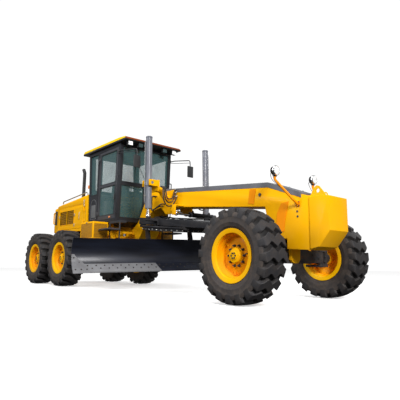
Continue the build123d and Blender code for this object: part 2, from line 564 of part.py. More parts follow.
# saddle over the boom with the arms that carry the lift cylinders
SADDLE_X = 810
SADDLE_FOOT_Z = 1525
SADDLE_PLATE = 45
TRUNNION_RADIUS = 28
TRUNNION_GAP = 0.8
YOKE_REACH = 130             # yoke plate to the trunnion, so that the cylinder can lean inward
saddle_top = BOOM_REAR_TOP + boom_slope * (SADDLE_X - BOOM_REAR_X)
with BuildPart() as blade_saddle:
    for side in (-1, 1):
        near, far = sorted((side * (BOOM_HALF_WIDTH + FIT), side * (BOOM_HALF_WIDTH + SADDLE_PLATE)))
        side_slab([(SADDLE_X - 260, saddle_top - 20), (SADDLE_X + 180, saddle_top - 20),
                   (SADDLE_X + 120, SADDLE_FOOT_Z), (SADDLE_X - 60, SADDLE_FOOT_Z), (SADDLE_X - 260, 1700)], near, far)
        arm_z = LIFT_TRUNNION_Z - 95
        pipe([(SADDLE_X, side * (BOOM_HALF_WIDTH + 20), arm_z - 140), (SADDLE_X, side * (BOOM_HALF_WIDTH + 135), arm_z - 140),
              (SADDLE_X, side * (BOOM_HALF_WIDTH + 230), arm_z),
              (SADDLE_X, side * (LIFT_PIN_Y - YOKE_REACH - 20), arm_z)], 58, 100)
        near, far = sorted((side * (LIFT_PIN_Y - YOKE_REACH - 40), side * (LIFT_PIN_Y - YOKE_REACH)))
        block(SADDLE_X - 130, SADDLE_X + 130, near, far, LIFT_TRUNNION_Z - 150, LIFT_TRUNNION_Z + 70)
        near, far = sorted((side * (LIFT_PIN_Y - YOKE_REACH - 40), side * (LIFT_PIN_Y + 60)))
        for cheek in (-130, 90):
            block(SADDLE_X + cheek, SADDLE_X + cheek + 40, near, far, LIFT_TRUNNION_Z - 60, LIFT_TRUNNION_Z + 60)
        rod((SADDLE_X - 135, side * LIFT_PIN_Y, LIFT_TRUNNION_Z), (SADDLE_X + 135, side * LIFT_PIN_Y, LIFT_TRUNNION_Z),
            TRUNNION_RADIUS + TRUNNION_GAP, mode=Mode.SUBTRACT)
write(blade_saddle, "blade_saddle")

# hoses that loop from the boom's end down to the valves on the saddle
HOSE_RADIUS = 13
with BuildPart() as frame_hoses:
    for side in (-1, 1):
        for number in range(2):
            out_y = side * (BOOM_HALF_WIDTH + 100 + 26 * number)
            top_x, end_x = BOOM_REAR_X + 60 + 55 * number, SADDLE_X - 170 + 50 * number
            top_z, low_z = BOOM_REAR_TOP - 130, SADDLE_FOOT_Z + 110 - 26 * number
            pipe([(top_x, side * (BOOM_HALF_WIDTH + FIT), top_z), (top_x, out_y, top_z), (top_x, out_y, low_z),
                  (end_x, out_y, low_z + 70 + 60 * number),
                  (end_x, side * (BOOM_HALF_WIDTH + SADDLE_PLATE + FIT), low_z + 70 + 60 * number)], HOSE_RADIUS, 44)
write(frame_hoses, "frame_hoses")

# lift cylinders, each swung on a trunnion across the arm's cheeks
lean_run = sin(radians(LIFT_LEAN))


def lift_point(side, height):
    """A point of a lift cylinder's axis at a height."""
    return (SADDLE_X - (height - LIFT_TRUNNION_Z) * lean_run, side * LIFT_PIN_Y, height)


for side_name, side in SIDES:
    with BuildPart() as lift_barrel:
        rod(lift_point(side, LIFT_BARREL_FOOT), lift_point(side, LIFT_BARREL_TOP), LIFT_BARREL_RADIUS)
        rod(lift_point(side, LIFT_TRUNNION_Z - 55), lift_point(side, LIFT_TRUNNION_Z + 55), LIFT_BARREL_RADIUS + 16)
        rod((SADDLE_X - 130, side * LIFT_PIN_Y, LIFT_TRUNNION_Z), (SADDLE_X + 130, side * LIFT_PIN_Y, LIFT_TRUNNION_Z),
            TRUNNION_RADIUS)
        rod((SADDLE_X - 88, side * LIFT_PIN_Y, LIFT_TRUNNION_Z), (SADDLE_X + 88, side * LIFT_PIN_Y, LIFT_TRUNNION_Z),
            TRUNNION_RADIUS + 10)
        rod(lift_point(side, LIFT_BARREL_FOOT - 10), lift_point(side, LIFT_BARREL_TOP - 30),
            LIFT_ROD_RADIUS + RUNNING, mode=Mode.SUBTRACT)
    write(lift_barrel, f"lift_barrel_{side_name}")
    with BuildPart() as lift_rod:
        ball_z = LIFT_PAD_Z + LIFT_BALL_GAP + LIFT_BALL_RADIUS
        rod(lift_point(side, ball_z), lift_point(side, LIFT_BARREL_TOP - 600), LIFT_ROD_RADIUS)
        rod(lift_point(side, ball_z + 30), lift_point(side, ball_z + 62), LIFT_ROD_RADIUS + 10)
        with Locations(lift_point(side, ball_z)):
            Sphere(LIFT_BALL_RADIUS)
    write(lift_rod, f"lift_rod_{side_name}")

# ---------------------------------------------------------------- drawbar and circle
DRAWBAR_PITCH = degrees(atan2(CIRCLE_Z - BALL_Z, BALL_X - CIRCLE_X))
CIRCLE_PLANE = Plane(origin=(CIRCLE_X, 0, CIRCLE_Z),
                     x_dir=(cos(radians(DRAWBAR_PITCH)), 0, -sin(radians(DRAWBAR_PITCH))),
                     z_dir=(sin(radians(DRAWBAR_PITCH)), -sin(radians(DRAWBAR_ROLL)), cos(radians(DRAWBAR_PITCH))))
REACH = ((BALL_X - CIRCLE_X) ** 2 + (CIRCLE_Z - BALL_Z) ** 2) ** 0.5
DRIVE_RADIUS = 100
BAR_LOW = 14
BAR_HIGH = 150
BRACKET_ROOT = 515           # where the lift seats leave the legs

with BuildPart() as drawbar_ball:
    with Locations((BALL_X, 0, BALL_Z)):
        Sphere(BALL_RADIUS)
    rod((BALL_X, 0, BALL_Z - LUG_GAP - LUG_THICK), (BALL_X, 0, BALL_Z + LUG_GAP + LUG_THICK), BALL_PIN)
write(drawbar_ball, "drawbar_ball")

with BuildPart() as drawbar:
    for side in (-1, 1):
        leg = [(REACH - 40, side * 10), (REACH - 40, side * 110), (1100, side * 330), (0, side * 560),
               (-620, side * 560), (-620, side * 440), (-40, side * 440), (1080, side * 200),
               (REACH - 320, side * 10)]
        flat_slab(leg, BAR_LOW, BAR_HIGH, plane=CIRCLE_PLANE)
    flat_slab([(REACH - 330, -60), (REACH - 40, -60), (REACH - 40, 60), (REACH - 330, 60)], BAR_LOW, BAR_HIGH,
              plane=CIRCLE_PLANE)
    for low, high in ((-620, -500), (-60, 90), (880, 1010)):
        flat_slab([(low, -450), (high, -450), (high, 450), (low, 450)] if high < 500 else
                  [(low, -250), (high, -250), (high, 250), (low, 250)],
                  BAR_LOW, BAR_HIGH, plane=CIRCLE_PLANE)
    # shoes that hold the circle's rim from above, outside and below
    for shoe_angle in (-138, -28, 28, 138):
        turn = radians(shoe_angle)
        shoe_plane = Plane(origin=CIRCLE_PLANE.origin,
                           x_dir=CIRCLE_PLANE.x_dir * cos(turn) + CIRCLE_PLANE.y_dir * sin(turn),
                           z_dir=CIRCLE_PLANE.z_dir)
        lip_low, lip_high = -FLANGE_THICK - RUNNING - 20, -FLANGE_THICK - RUNNING
        for inner, outer, low, high in (
                (CIRCLE_RADIUS + 3, CIRCLE_RADIUS + 38, lip_low, BAR_LOW + 1),
                (CIRCLE_RADIUS - FLANGE_WIDTH + 8, CIRCLE_RADIUS + 5, lip_low, lip_high),
                (CIRCLE_RADIUS - 60, CIRCLE_RADIUS + 5, RUNNING, BAR_LOW + 1)):
            flat_slab([(inner, -60), (outer, -60), (outer, 60), (inner, 60)], low, high, plane=shoe_plane)
    # drive that turns the circle: pinion case inside the teeth, gearbox and motor above
    drive_x = CIRCLE_ROOT_RADIUS - TOOTH_DEPTH - 8 - DRIVE_RADIUS
    for radius, low, high in ((DRIVE_RADIUS, -CIRCLE_THICK + 14, BAR_HIGH + 16), (DRIVE_RADIUS - 40, BAR_LOW, BAR_HIGH + 54)):
        with BuildSketch(CIRCLE_PLANE.offset(low)) as drive:
            with Locations((-drive_x, 0)):
                Circle(radius)
        extrude(drive.sketch, amount=high - low)
    # socket round the ball, open ahead
    rod((BALL_X, 0, BALL_Z - 45), (BALL_X, 0, BALL_Z + 45), BALL_RADIUS + 36)
    flat_slab([(REACH - 140, -60), (REACH - 70, -60), (REACH - 70, 60), (REACH - 140, 60)], BAR_LOW - 60, BAR_HIGH,
              plane=CIRCLE_PLANE)
    block(BALL_X + 14, BALL_X + 140, -120, 120, BALL_Z - 160, BALL_Z + 160, mode=Mode.SUBTRACT)
    block(BALL_X - 62, BALL_X + 20, -120, 120, BALL_Z + 45, BALL_Z + 240, mode=Mode.SUBTRACT)
    with Locations((BALL_X, 0, BALL_Z)):
        Sphere(BALL_RADIUS + RUNNING, mode=Mode.SUBTRACT)
    # brackets that carry the lift cylinders' feet
    for side in (-1, 1):
        near, far = sorted((side * BRACKET_ROOT, side * (LIFT_PIN_Y + BRACKET_REACH)))
        foot_x = lift_point(side, LIFT_PAD_Z)[0]
        block(foot_x - 65, foot_x + 65, near, far, LIFT_PAD_Z - 36, LIFT_PAD_Z)
        # the leg is lower behind the seat, where the cylinder passes as the drawbar swings
        block(foot_x - 250, foot_x + 75, near, far, LIFT_PAD_Z, LIFT_PAD_Z + 110, mode=Mode.SUBTRACT)
    # barrel of the cylinder that swings the drawbar, on a post of the left leg
    block(SWING_X - 40, SWING_X + 40, 390, 460, SWING_Z - 180, SWING_Z + 10)
    rod((SWING_X, SWING_BARREL_END, SWING_Z), (SWING_X, SWING_ROOT_Y, SWING_Z), 48)
    rod((SWING_X, SWING_BARREL_END - 5, SWING_Z), (SWING_X, SWING_ROOT_Y - 20, SWING_Z), 24 + RUNNING,
        mode=Mode.SUBTRACT)
write(drawbar, "drawbar")

BLADE_TURN = radians(BLADE_ANGLE)
BLADE_PLANE = Plane(origin=CIRCLE_PLANE.origin,
                    x_dir=CIRCLE_PLANE.x_dir * cos(BLADE_TURN) + CIRCLE_PLANE.y_dir * sin(BLADE_TURN),
                    z_dir=CIRCLE_PLANE.z_dir)
# blade-aligned offsets from the circle's middle: a forward, b left, c up
ARM_INNER = 470
ARM_OUTER = 525
PIVOT_A, PIVOT_C = -170, -700
EDGE_A, EDGE_C = 185, -866
FACE_RADIUS = 413
FACE_LOW = (EDGE_A - 22, EDGE_C + 52)
FACE_HIGH = (120, EDGE_C + BLADE_HEIGHT)
EDGE_HEIGHT = 152
EDGE_THICK = 19
EDGE_BEVEL = 26
SHIFT_A, SHIFT_C = -62, -560
JAW_GAP = 0.8
SHIFT_HALF = 760
SHIFT_LUG = 1520


def blade_section_plane(b):
    """The upright plane square to the blade at an offset along it; its sketch runs (a, c)."""
    return Plane(origin=BLADE_PLANE.from_local_coords(Vector(0, b, 0)), x_dir=BLADE_PLANE.x_dir,
                 z_dir=-BLADE_PLANE.y_dir)


def blade_slab(points, b_low, b_high, mode=Mode.ADD, rounding=0):
    """An outline of (a, c) points run along the blade."""
    with BuildSketch(blade_section_plane(b_high)) as outline:
        with BuildLine():
            Polyline(*points, close=True)
        make_face()
        if rounding:
            fillet(outline.vertices(), rounding)
    extrude(outline.sketch, amount=b_high - b_low, mode=mode)


def blade_rod(start, end, radius, mode=Mode.ADD):
    """A round bar between two (a, b, c) points."""
    first, last = (BLADE_PLANE.from_local_coords(Vector(*point)) for point in (start, end))
    rod(tuple(first), tuple(last), radius, mode)


def face_centre():
    """Centre of the moldboard's front arc, which lies ahead of it."""
    low, high = Vector(*FACE_LOW), Vector(*FACE_HIGH)
    middle, run = (low + high) * 0.5, high - low
    ahead = (FACE_RADIUS ** 2 - (run.length / 2) ** 2) ** 0.5
    return middle + Vector(run.Y, -run.X).normalized() * ahead


CENTRE_A, CENTRE_C = face_centre().X, face_centre().Y
FACE_MIDDLE = (CENTRE_A - FACE_RADIUS, CENTRE_C)
BACK_MIDDLE = (FACE_MIDDLE[0] - BLADE_THICK, CENTRE_C)


def back_face(c):
    """Offset of the moldboard's back at a height."""
    radius = FACE_RADIUS + BLADE_THICK
    return CENTRE_A - (radius ** 2 - (c - CENTRE_C) ** 2) ** 0.5


BACK_LOW = (back_face(FACE_LOW[1]), FACE_LOW[1])
BACK_HIGH = (back_face(FACE_HIGH[1]), FACE_HIGH[1])
RAIL_HALF = 22
RAIL_HIGH_C = FACE_HIGH[1] - 90
RAIL_LOW_C = FACE_LOW[1] + 80
RAIL_HIGH_A = back_face(RAIL_HIGH_C) - 42
RAIL_LOW_A = back_face(RAIL_LOW_C) - 42

with BuildPart() as circle:
    with BuildSketch(CIRCLE_PLANE.offset(-CIRCLE_THICK)) as gear_ring:
        Circle(CIRCLE_RADIUS - FLANGE_WIDTH)
        Circle(CIRCLE_ROOT_RADIUS, mode=Mode.SUBTRACT)
        with PolarLocations(CIRCLE_ROOT_RADIUS + 3, TOOTH_COUNT):
            Polygon((0, -22), (0, 22), (-TOOTH_DEPTH - 3, 11), (-TOOTH_DEPTH - 3, -11), align=None)
    extrude(gear_ring.sketch, amount=CIRCLE_THICK)
    ring_slab((0, 0), CIRCLE_RADIUS - FLANGE_WIDTH - 1, CIRCLE_RADIUS, -FLANGE_THICK, 0, CIRCLE_PLANE)
    for side in (-1, 1):
        near, far = sorted((side * ARM_INNER, side * ARM_OUTER))
        blade_slab([(-498, -CIRCLE_THICK + 1), (-380, -CIRCLE_THICK + 1), (-250, -450), (-225, -610),
                    (PIVOT_A + 60, PIVOT_C + 60), (PIVOT_A + 62, PIVOT_C - 50), (PIVOT_A - 60, PIVOT_C - 62),
                    (-330, -640), (-410, -420)], near, far, rounding=12)
        blade_rod((PIVOT_A, side * (ARM_INNER - 70), PIVOT_C), (PIVOT_A, side * (ARM_OUTER + 12), PIVOT_C), 30)
write(circle, "circle")

# ---------------------------------------------------------------- blade
with BuildPart() as blade_carrier:
    for side in (-1, 1):
        near, far = sorted((side * (ARM_INNER - 6), side * (ARM_INNER - 62)))
        jaw = RAIL_HALF + JAW_GAP
        blade_slab([(PIVOT_A - 62, PIVOT_C - 40), (PIVOT_A + 40, PIVOT_C - 66), (RAIL_LOW_A - 6, RAIL_LOW_C - 46),
                    (RAIL_LOW_A + 22, RAIL_LOW_C - 46), (RAIL_LOW_A + 22, RAIL_LOW_C - jaw),
                    (RAIL_LOW_A - JAW_GAP, RAIL_LOW_C - jaw), (RAIL_LOW_A - JAW_GAP, RAIL_LOW_C + jaw),
                    (RAIL_LOW_A + 16, RAIL_LOW_C + jaw), (RAIL_LOW_A + 10, RAIL_LOW_C + 50),
                    (PIVOT_A + 60, PIVOT_C + 70), (PIVOT_A + 20, -520), (RAIL_HIGH_A - 30, RAIL_HIGH_C - 60),
                    (RAIL_HIGH_A + 10, RAIL_HIGH_C - 46), (RAIL_HIGH_A + 10, RAIL_HIGH_C - jaw),
                    (RAIL_HIGH_A - JAW_GAP, RAIL_HIGH_C - jaw), (RAIL_HIGH_A - JAW_GAP, RAIL_HIGH_C + jaw),
                    (RAIL_HIGH_A + 16, RAIL_HIGH_C + jaw), (RAIL_HIGH_A + 16, RAIL_HIGH_C + 46),
                    (RAIL_HIGH_A - 60, RAIL_HIGH_C + 46), (PIVOT_A - 50, -500)], near, far)
        blade_rod((PIVOT_A, side * (ARM_INNER - 72), PIVOT_C), (PIVOT_A, side * (ARM_INNER - 2), PIVOT_C),
                  30 + RUNNING, mode=Mode.SUBTRACT)
    inner = ARM_INNER - 61
    blade_rod((PIVOT_A - 10, -inner, -540), (PIVOT_A - 10, inner, -540), 34)
write(blade_carrier, "blade_carrier")

with BuildPart() as shift_barrel:
    blade_rod((SHIFT_A, -SHIFT_HALF, SHIFT_C), (SHIFT_A, SHIFT_HALF, SHIFT_C), 42)
    blade_rod((SHIFT_A, -SHIFT_HALF + 30, SHIFT_C), (SHIFT_A, SHIFT_HALF + 5, SHIFT_C), 24 + RUNNING,
              mode=Mode.SUBTRACT)
write(shift_barrel, "blade_shift_barrel")

with BuildPart() as shift_rod:
    blade_rod((SHIFT_A, 20, SHIFT_C), (SHIFT_A, SHIFT_LUG - 30, SHIFT_C), 24)
    blade_rod((SHIFT_A, SHIFT_LUG - 34, SHIFT_C), (SHIFT_A, SHIFT_LUG - FIT, SHIFT_C), 38)
write(shift_rod, "blade_shift_rod")

with BuildPart() as moldboard:
    half = BLADE_LENGTH / 2
    with BuildSketch(blade_section_plane(half)) as section:
        with BuildLine():
            ThreePointArc(FACE_LOW, FACE_MIDDLE, FACE_HIGH)
            Line(FACE_HIGH, BACK_HIGH)
            ThreePointArc(BACK_HIGH, BACK_MIDDLE, BACK_LOW)
            Line(BACK_LOW, FACE_LOW)
        make_face()
    extrude(section.sketch, amount=BLADE_LENGTH)
    for rail_a, rail_c in ((RAIL_LOW_A, RAIL_LOW_C), (RAIL_HIGH_A, RAIL_HIGH_C)):
        rail_half = half - 500
        blade_slab([(rail_a, rail_c - RAIL_HALF), (back_face(rail_c - RAIL_HALF) + 6, rail_c - RAIL_HALF),
                    (back_face(rail_c + RAIL_HALF) + 6, rail_c + RAIL_HALF), (rail_a, rail_c + RAIL_HALF)],
                   -rail_half, rail_half)
    blade_slab([(SHIFT_A - 50, SHIFT_C - 60), (back_face(SHIFT_C) + 6, SHIFT_C - 70),
                (back_face(SHIFT_C) + 6, SHIFT_C + 70), (SHIFT_A - 50, SHIFT_C + 60)],
               SHIFT_LUG, SHIFT_LUG + 30)
write(moldboard, "moldboard")

with BuildPart() as cutting_edge:
    half = BLADE_LENGTH / 2
    # the edge lies on the moldboard's foot, its lower rim bevelled
    edge_top_c = EDGE_C + EDGE_HEIGHT
    edge_top_a = CENTRE_A - (FACE_RADIUS ** 2 - (edge_top_c - CENTRE_C) ** 2) ** 0.5 + FIT
    edge_slope = (FACE_LOW[0] + FIT - edge_top_a) / (FACE_LOW[1] - edge_top_c)
    edge_low_a = edge_top_a + edge_slope * (EDGE_C - edge_top_c)
    bevel_a = edge_low_a + edge_slope * EDGE_BEVEL + EDGE_THICK
    blade_slab([(edge_low_a, EDGE_C), (bevel_a, EDGE_C + EDGE_BEVEL), (edge_top_a + EDGE_THICK, edge_top_c),
                (edge_top_a, edge_top_c)], -half, half)
write(cutting_edge, "cutting_edge")

# rod of the cylinder that swings the drawbar sideways
with BuildPart() as swing_rod:
    rod((SWING_X, SWING_EYE_Y, SWING_Z), (SWING_X, SWING_ROOT_Y - 310, SWING_Z), 24)
    with Locations((SWING_X, SWING_EYE_Y, SWING_Z)):
        Sphere(EYE_RADIUS)
write(swing_rod, "swing_rod")

# ---------------------------------------------------------------- rear frame
with BuildPart() as rear_frame:
    for side in (-1, 1):
        near, far = sorted((side * (RAIL_HALF_WIDTH - RAIL_WIDTH), side * RAIL_HALF_WIDTH))
        side_slab([(-1000, RAIL_BOTTOM), (REAR_END_X + 50, RAIL_BOTTOM), (REAR_END_X + 50, RAIL_TOP),
                   (-1000, RAIL_TOP)], near, far)
        near, far = sorted((side * (RAIL_HALF_WIDTH - RAIL_WIDTH - 10), side * (RAIL_HALF_WIDTH + 10)))
        block(TANDEM_X - 200, TANDEM_X + 200, near, far, AXLE_Z + 140, RAIL_BOTTOM + 1)
        rod((TANDEM_X, near - 1, AXLE_Z + 70), (TANDEM_X, far + 1, AXLE_Z + 70), 150 + FIT, mode=Mode.SUBTRACT)
        for mount_x in (-1050, -1650):
            near, far = sorted((side * (RAIL_HALF_WIDTH - RAIL_WIDTH), side * (RAIL_HALF_WIDTH + 60)))
            block(mount_x - 60, mount_x + 60, near, far, RAIL_TOP - 60, CAB_FLOOR_Z - FIT)
        # outriggers that carry the side boxes and steps
        for out_x in (BOX_REAR_X + 80, BOX_FRONT_X - 240):
            near, far = sorted((side * (RAIL_HALF_WIDTH - 20), side * (BOX_INNER_Y - FIT)))
            block(out_x - 40, out_x + 40, near, far, RAIL_TOP - 110, RAIL_TOP - 20)
    block(-1060, -960, -RAIL_HALF_WIDTH, RAIL_HALF_WIDTH, RAIL_BOTTOM - 80, RAIL_TOP)
    flat_slab([(-1000, -300), (-860, -120), (HITCH_X, -125), (HITCH_X, 125), (-860, 120), (-1000, 300)],
              HITCH_BOTTOM + 78, HITCH_TOP - 138)
    rod((HITCH_X, 0, HITCH_BOTTOM + 78), (HITCH_X, 0, HITCH_TOP - 138), 125)
    rod((HITCH_X, 0, HITCH_BOTTOM + 60), (HITCH_X, 0, HITCH_TOP - 120), HITCH_PIN_RADIUS + RUNNING,
        mode=Mode.SUBTRACT)
    for cross_x in (-1900, REAR_END_X + 400):
        block(cross_x - 50, cross_x + 50, -RAIL_HALF_WIDTH, RAIL_HALF_WIDTH, RAIL_BOTTOM, RAIL_BOTTOM + 90)
    block(REAR_END_X, REAR_END_X + 60, -620, 620, RAIL_BOTTOM - 60, RAIL_TOP + 40, rounding=20)
    # barrels of the articulation cylinders, through the front cross-member
    for side in (-1, 1):
        rod((-890, side * STEER_CYL_Y, STEER_CYL_Z), (-1500, side * STEER_CYL_Y, STEER_CYL_Z), 45)
        rod((-880, side * STEER_CYL_Y, STEER_CYL_Z), (-1480, side * STEER_CYL_Y, STEER_CYL_Z), 22 + RUNNING,
            mode=Mode.SUBTRACT)
write(rear_frame, "rear_frame")

for side_name, side in SIDES:
    with BuildPart() as hitch_rod:
        rod((HITCH_X - 20, side * STEER_CYL_Y, STEER_CYL_Z), (-1220, side * STEER_CYL_Y, STEER_CYL_Z), 22)
        rod((HITCH_X, side * STEER_CYL_Y, STEER_CYL_Z - 25), (HITCH_X, side * STEER_CYL_Y, STEER_CYL_Z + 25), 42)
    write(hitch_rod, f"hitch_rod_{side_name}")

ENGINE_REAR_X, ENGINE_FRONT_X = TANDEM_X - 340, TANDEM_X + 810
ENGINE_TOP_Z = 1900
with BuildPart() as engine_block:
    block(ENGINE_REAR_X, ENGINE_FRONT_X, -320, 320, 1000, ENGINE_TOP_Z)
    rail_gap = RAIL_HALF_WIDTH - RAIL_WIDTH - FIT
    for foot_x in (ENGINE_REAR_X + 100, ENGINE_FRONT_X - 100):
        block(foot_x - 40, foot_x + 40, -rail_gap, rail_gap, 1110, 1190)
write(engine_block, "engine_block")

hood_slope = (HOOD_TOP_FRONT - HOOD_TOP_REAR) / (HOOD_FRONT_X - HOOD_REAR_X)


def hood_top(x):
    """Height of the hood's top at a place along it."""
    return HOOD_TOP_REAR + hood_slope * (x - HOOD_REAR_X)


HATCH_FRONT_X = HOOD_FRONT_X - 190
HATCH_REAR_X = HOOD_REAR_X + 110
HATCH_BOTTOM = HOOD_BOTTOM + 70
HATCH_TOP = HOOD_TOP_REAR - 95
HATCH_GAP = 7
HATCH_HINGES = (HATCH_BOTTOM + 120, HATCH_TOP - 120)
VENT_LENGTH = 420
VENT_LOW = HATCH_BOTTOM + 130
VENT_HIGH = HATCH_TOP - 110
VENT_SLATS = 8
EXHAUST_X = -2900
EXHAUST_Y = -330
with BuildPart() as engine_hood:
    side_slab([(HOOD_FRONT_X, HOOD_BOTTOM), (HOOD_FRONT_X, HOOD_TOP_FRONT), (HOOD_REAR_X, HOOD_TOP_REAR),
               (HOOD_REAR_X, HOOD_BOTTOM)], -HOOD_HALF_WIDTH, HOOD_HALF_WIDTH)
    fillet(engine_hood.edges().filter_by(GeomType.LINE).sort_by(Axis.Z)[-4:].filter_by(
        lambda edge: abs(edge.center().Y) > 100), 60)
    side_slab([(HOOD_FRONT_X - HOOD_SKIN, HOOD_BOTTOM - 1), (HOOD_FRONT_X - HOOD_SKIN, HOOD_TOP_FRONT - HOOD_SKIN - 2),
               (HOOD_REAR_X - 1, HOOD_TOP_REAR - HOOD_SKIN), (HOOD_REAR_X - 1, HOOD_BOTTOM - 1)],
              -HOOD_HALF_WIDTH + HOOD_SKIN, HOOD_HALF_WIDTH - HOOD_SKIN, mode=Mode.SUBTRACT)
    block(HATCH_REAR_X, HATCH_FRONT_X, -HOOD_HALF_WIDTH - 1, HOOD_HALF_WIDTH + 1, HATCH_BOTTOM, HATCH_TOP,
          mode=Mode.SUBTRACT)
    rod((EXHAUST_X, EXHAUST_Y, HOOD_TOP_REAR - 90), (EXHAUST_X, EXHAUST_Y, HOOD_TOP_FRONT + 10), 62,
        mode=Mode.SUBTRACT)
    # sill that stands on the rails
    for side in (-1, 1):
        near, far = sorted((side * (RAIL_HALF_WIDTH - 60), side * (HOOD_HALF_WIDTH - HOOD_SKIN + 2)))
        for sill_x in (HOOD_FRONT_X - 110, HOOD_REAR_X + 60):
            block(sill_x - 40, sill_x + 40, near, far, RAIL_TOP + FIT, HOOD_BOTTOM + 40)
    for side in (-1, 1):
        for hinge_z in HATCH_HINGES:
            hinge_leaf(HATCH_FRONT_X, HOOD_HALF_WIDTH, side, hinge_z, 1, False)
write(engine_hood, "engine_hood")

for side_name, side in SIDES:
    with BuildPart() as hatch:
        near, far = sorted((side * (HOOD_HALF_WIDTH - HOOD_SKIN + 2), side * HOOD_HALF_WIDTH))
        block(HATCH_REAR_X + HATCH_GAP, HATCH_FRONT_X - HATCH_GAP, near, far, HATCH_BOTTOM + HATCH_GAP,
              HATCH_TOP - HATCH_GAP)
        for vent_x in (HATCH_REAR_X + 70, HATCH_REAR_X + 90 + VENT_LENGTH):
            block(vent_x, vent_x + VENT_LENGTH, near - 1, far + 1, VENT_LOW, VENT_HIGH, mode=Mode.SUBTRACT)
            for slat in range(1, VENT_SLATS):
                slat_z = VENT_LOW + slat * (VENT_HIGH - VENT_LOW) / VENT_SLATS
                block(vent_x - 1, vent_x + VENT_LENGTH + 1, near + 6, far - 6, slat_z - 7, slat_z + 7)
        for hinge_z in HATCH_HINGES:
            hinge_leaf(HATCH_FRONT_X, HOOD_HALF_WIDTH, side, hinge_z, -1, True)
    write(hatch, f"engine_hatch_{side_name}")

RADIATOR_REAR_X = -4060
with BuildPart() as radiator_housing:
    side_slab([(HOOD_REAR_X - FIT, HOOD_BOTTOM + 40), (HOOD_REAR_X - FIT, HOOD_TOP_REAR - 20),
               (RADIATOR_REAR_X, HOOD_TOP_REAR - 60), (RADIATOR_REAR_X, HOOD_BOTTOM + 40)], -610, 610, rounding=18)
    block(RADIATOR_REAR_X - 5, RADIATOR_REAR_X + 60, -540, 540, HOOD_BOTTOM + 110, HOOD_TOP_REAR - 130,
          mode=Mode.SUBTRACT)
    for number in range(12):
        slat_y = -495 + number * 90
        block(RADIATOR_REAR_X + 6, RADIATOR_REAR_X + 61, slat_y - 6, slat_y + 6, HOOD_BOTTOM + 109,
              HOOD_TOP_REAR - 129)
    for side in (-1, 1):
        block(-3960, -3800, *sorted((side * 380, side * 450)), RAIL_TOP + FIT, HOOD_BOTTOM + 60)
write(radiator_housing, "radiator_housing")

with BuildPart() as exhaust:
    pipe([(EXHAUST_X, EXHAUST_Y, ENGINE_TOP_Z + FIT), (EXHAUST_X, EXHAUST_Y, 2960), (EXHAUST_X - 70, EXHAUST_Y, 3060)],
         44, 60)
    rod((EXHAUST_X, EXHAUST_Y, 2240), (EXHAUST_X, EXHAUST_Y, 2300), 54)
write(exhaust, "exhaust")


# ---------------------------------------------------------------- side boxes and steps
with BuildPart() as cab_steps:
    for side in (-1, 1):
        near, far = sorted((side * BOX_INNER_Y, side * BOX_OUTER_Y))
        block(BOX_REAR_X, BOX_FRONT_X, near, far, BOX_BOTTOM, BOX_TOP, rounding=14)
    for side in (-1, 1):
        for tread in range(3):
            tread_z = 640 + tread * 300
            near, far = sorted((side * STEP_INNER_Y, side * STEP_OUTER_Y))
            block(STEP_REAR_X, STEP_FRONT_X, near, far, tread_z, tread_z + 30)
        near, far = sorted((side * STEP_INNER_Y, side * (STEP_INNER_Y + 14)))
        for post_x in (STEP_REAR_X, STEP_FRONT_X - 40):
            block(post_x, post_x + 40, near, far, 620, CAB_FLOOR_Z - 30)
        near, far = sorted((side * 560, side * (STEP_INNER_Y + 14)))
        block(STEP_REAR_X, STEP_FRONT_X, near, far, CAB_FLOOR_Z - 50, CAB_FLOOR_Z - FIT)
write(cab_steps, "cab_steps")

# ---------------------------------------------------------------- cab
CAB_SIDE = [                 # (x, z) outline of the cab's side
    (CAB_FRONT_X - 70, CAB_FLOOR_Z), (CAB_FRONT_X, CAB_TOP_Z), (CAB_REAR_X - 40, CAB_TOP_Z),
    (CAB_REAR_X + 90, CAB_FLOOR_Z),
]


def along(low, high, z):
    """X of a slanted pillar, given its foot and head points, at a height."""
    return low[0] + (high[0] - low[0]) * (z - low[1]) / (high[1] - low[1])


def front_x(z):
    return along(CAB_SIDE[0], CAB_SIDE[1], z)


def rear_x(z):
    return along(CAB_SIDE[3], CAB_SIDE[2], z)


def slanted(face, inset, z_low, z_high, depth=0):
    """Side outline of a strip that follows the cab's front or rear, set in from it."""
    low, high = face(z_low), face(z_high)
    return [(low + inset, z_low), (high + inset, z_high), (high + inset + depth, z_high),
            (low + inset + depth, z_low)]


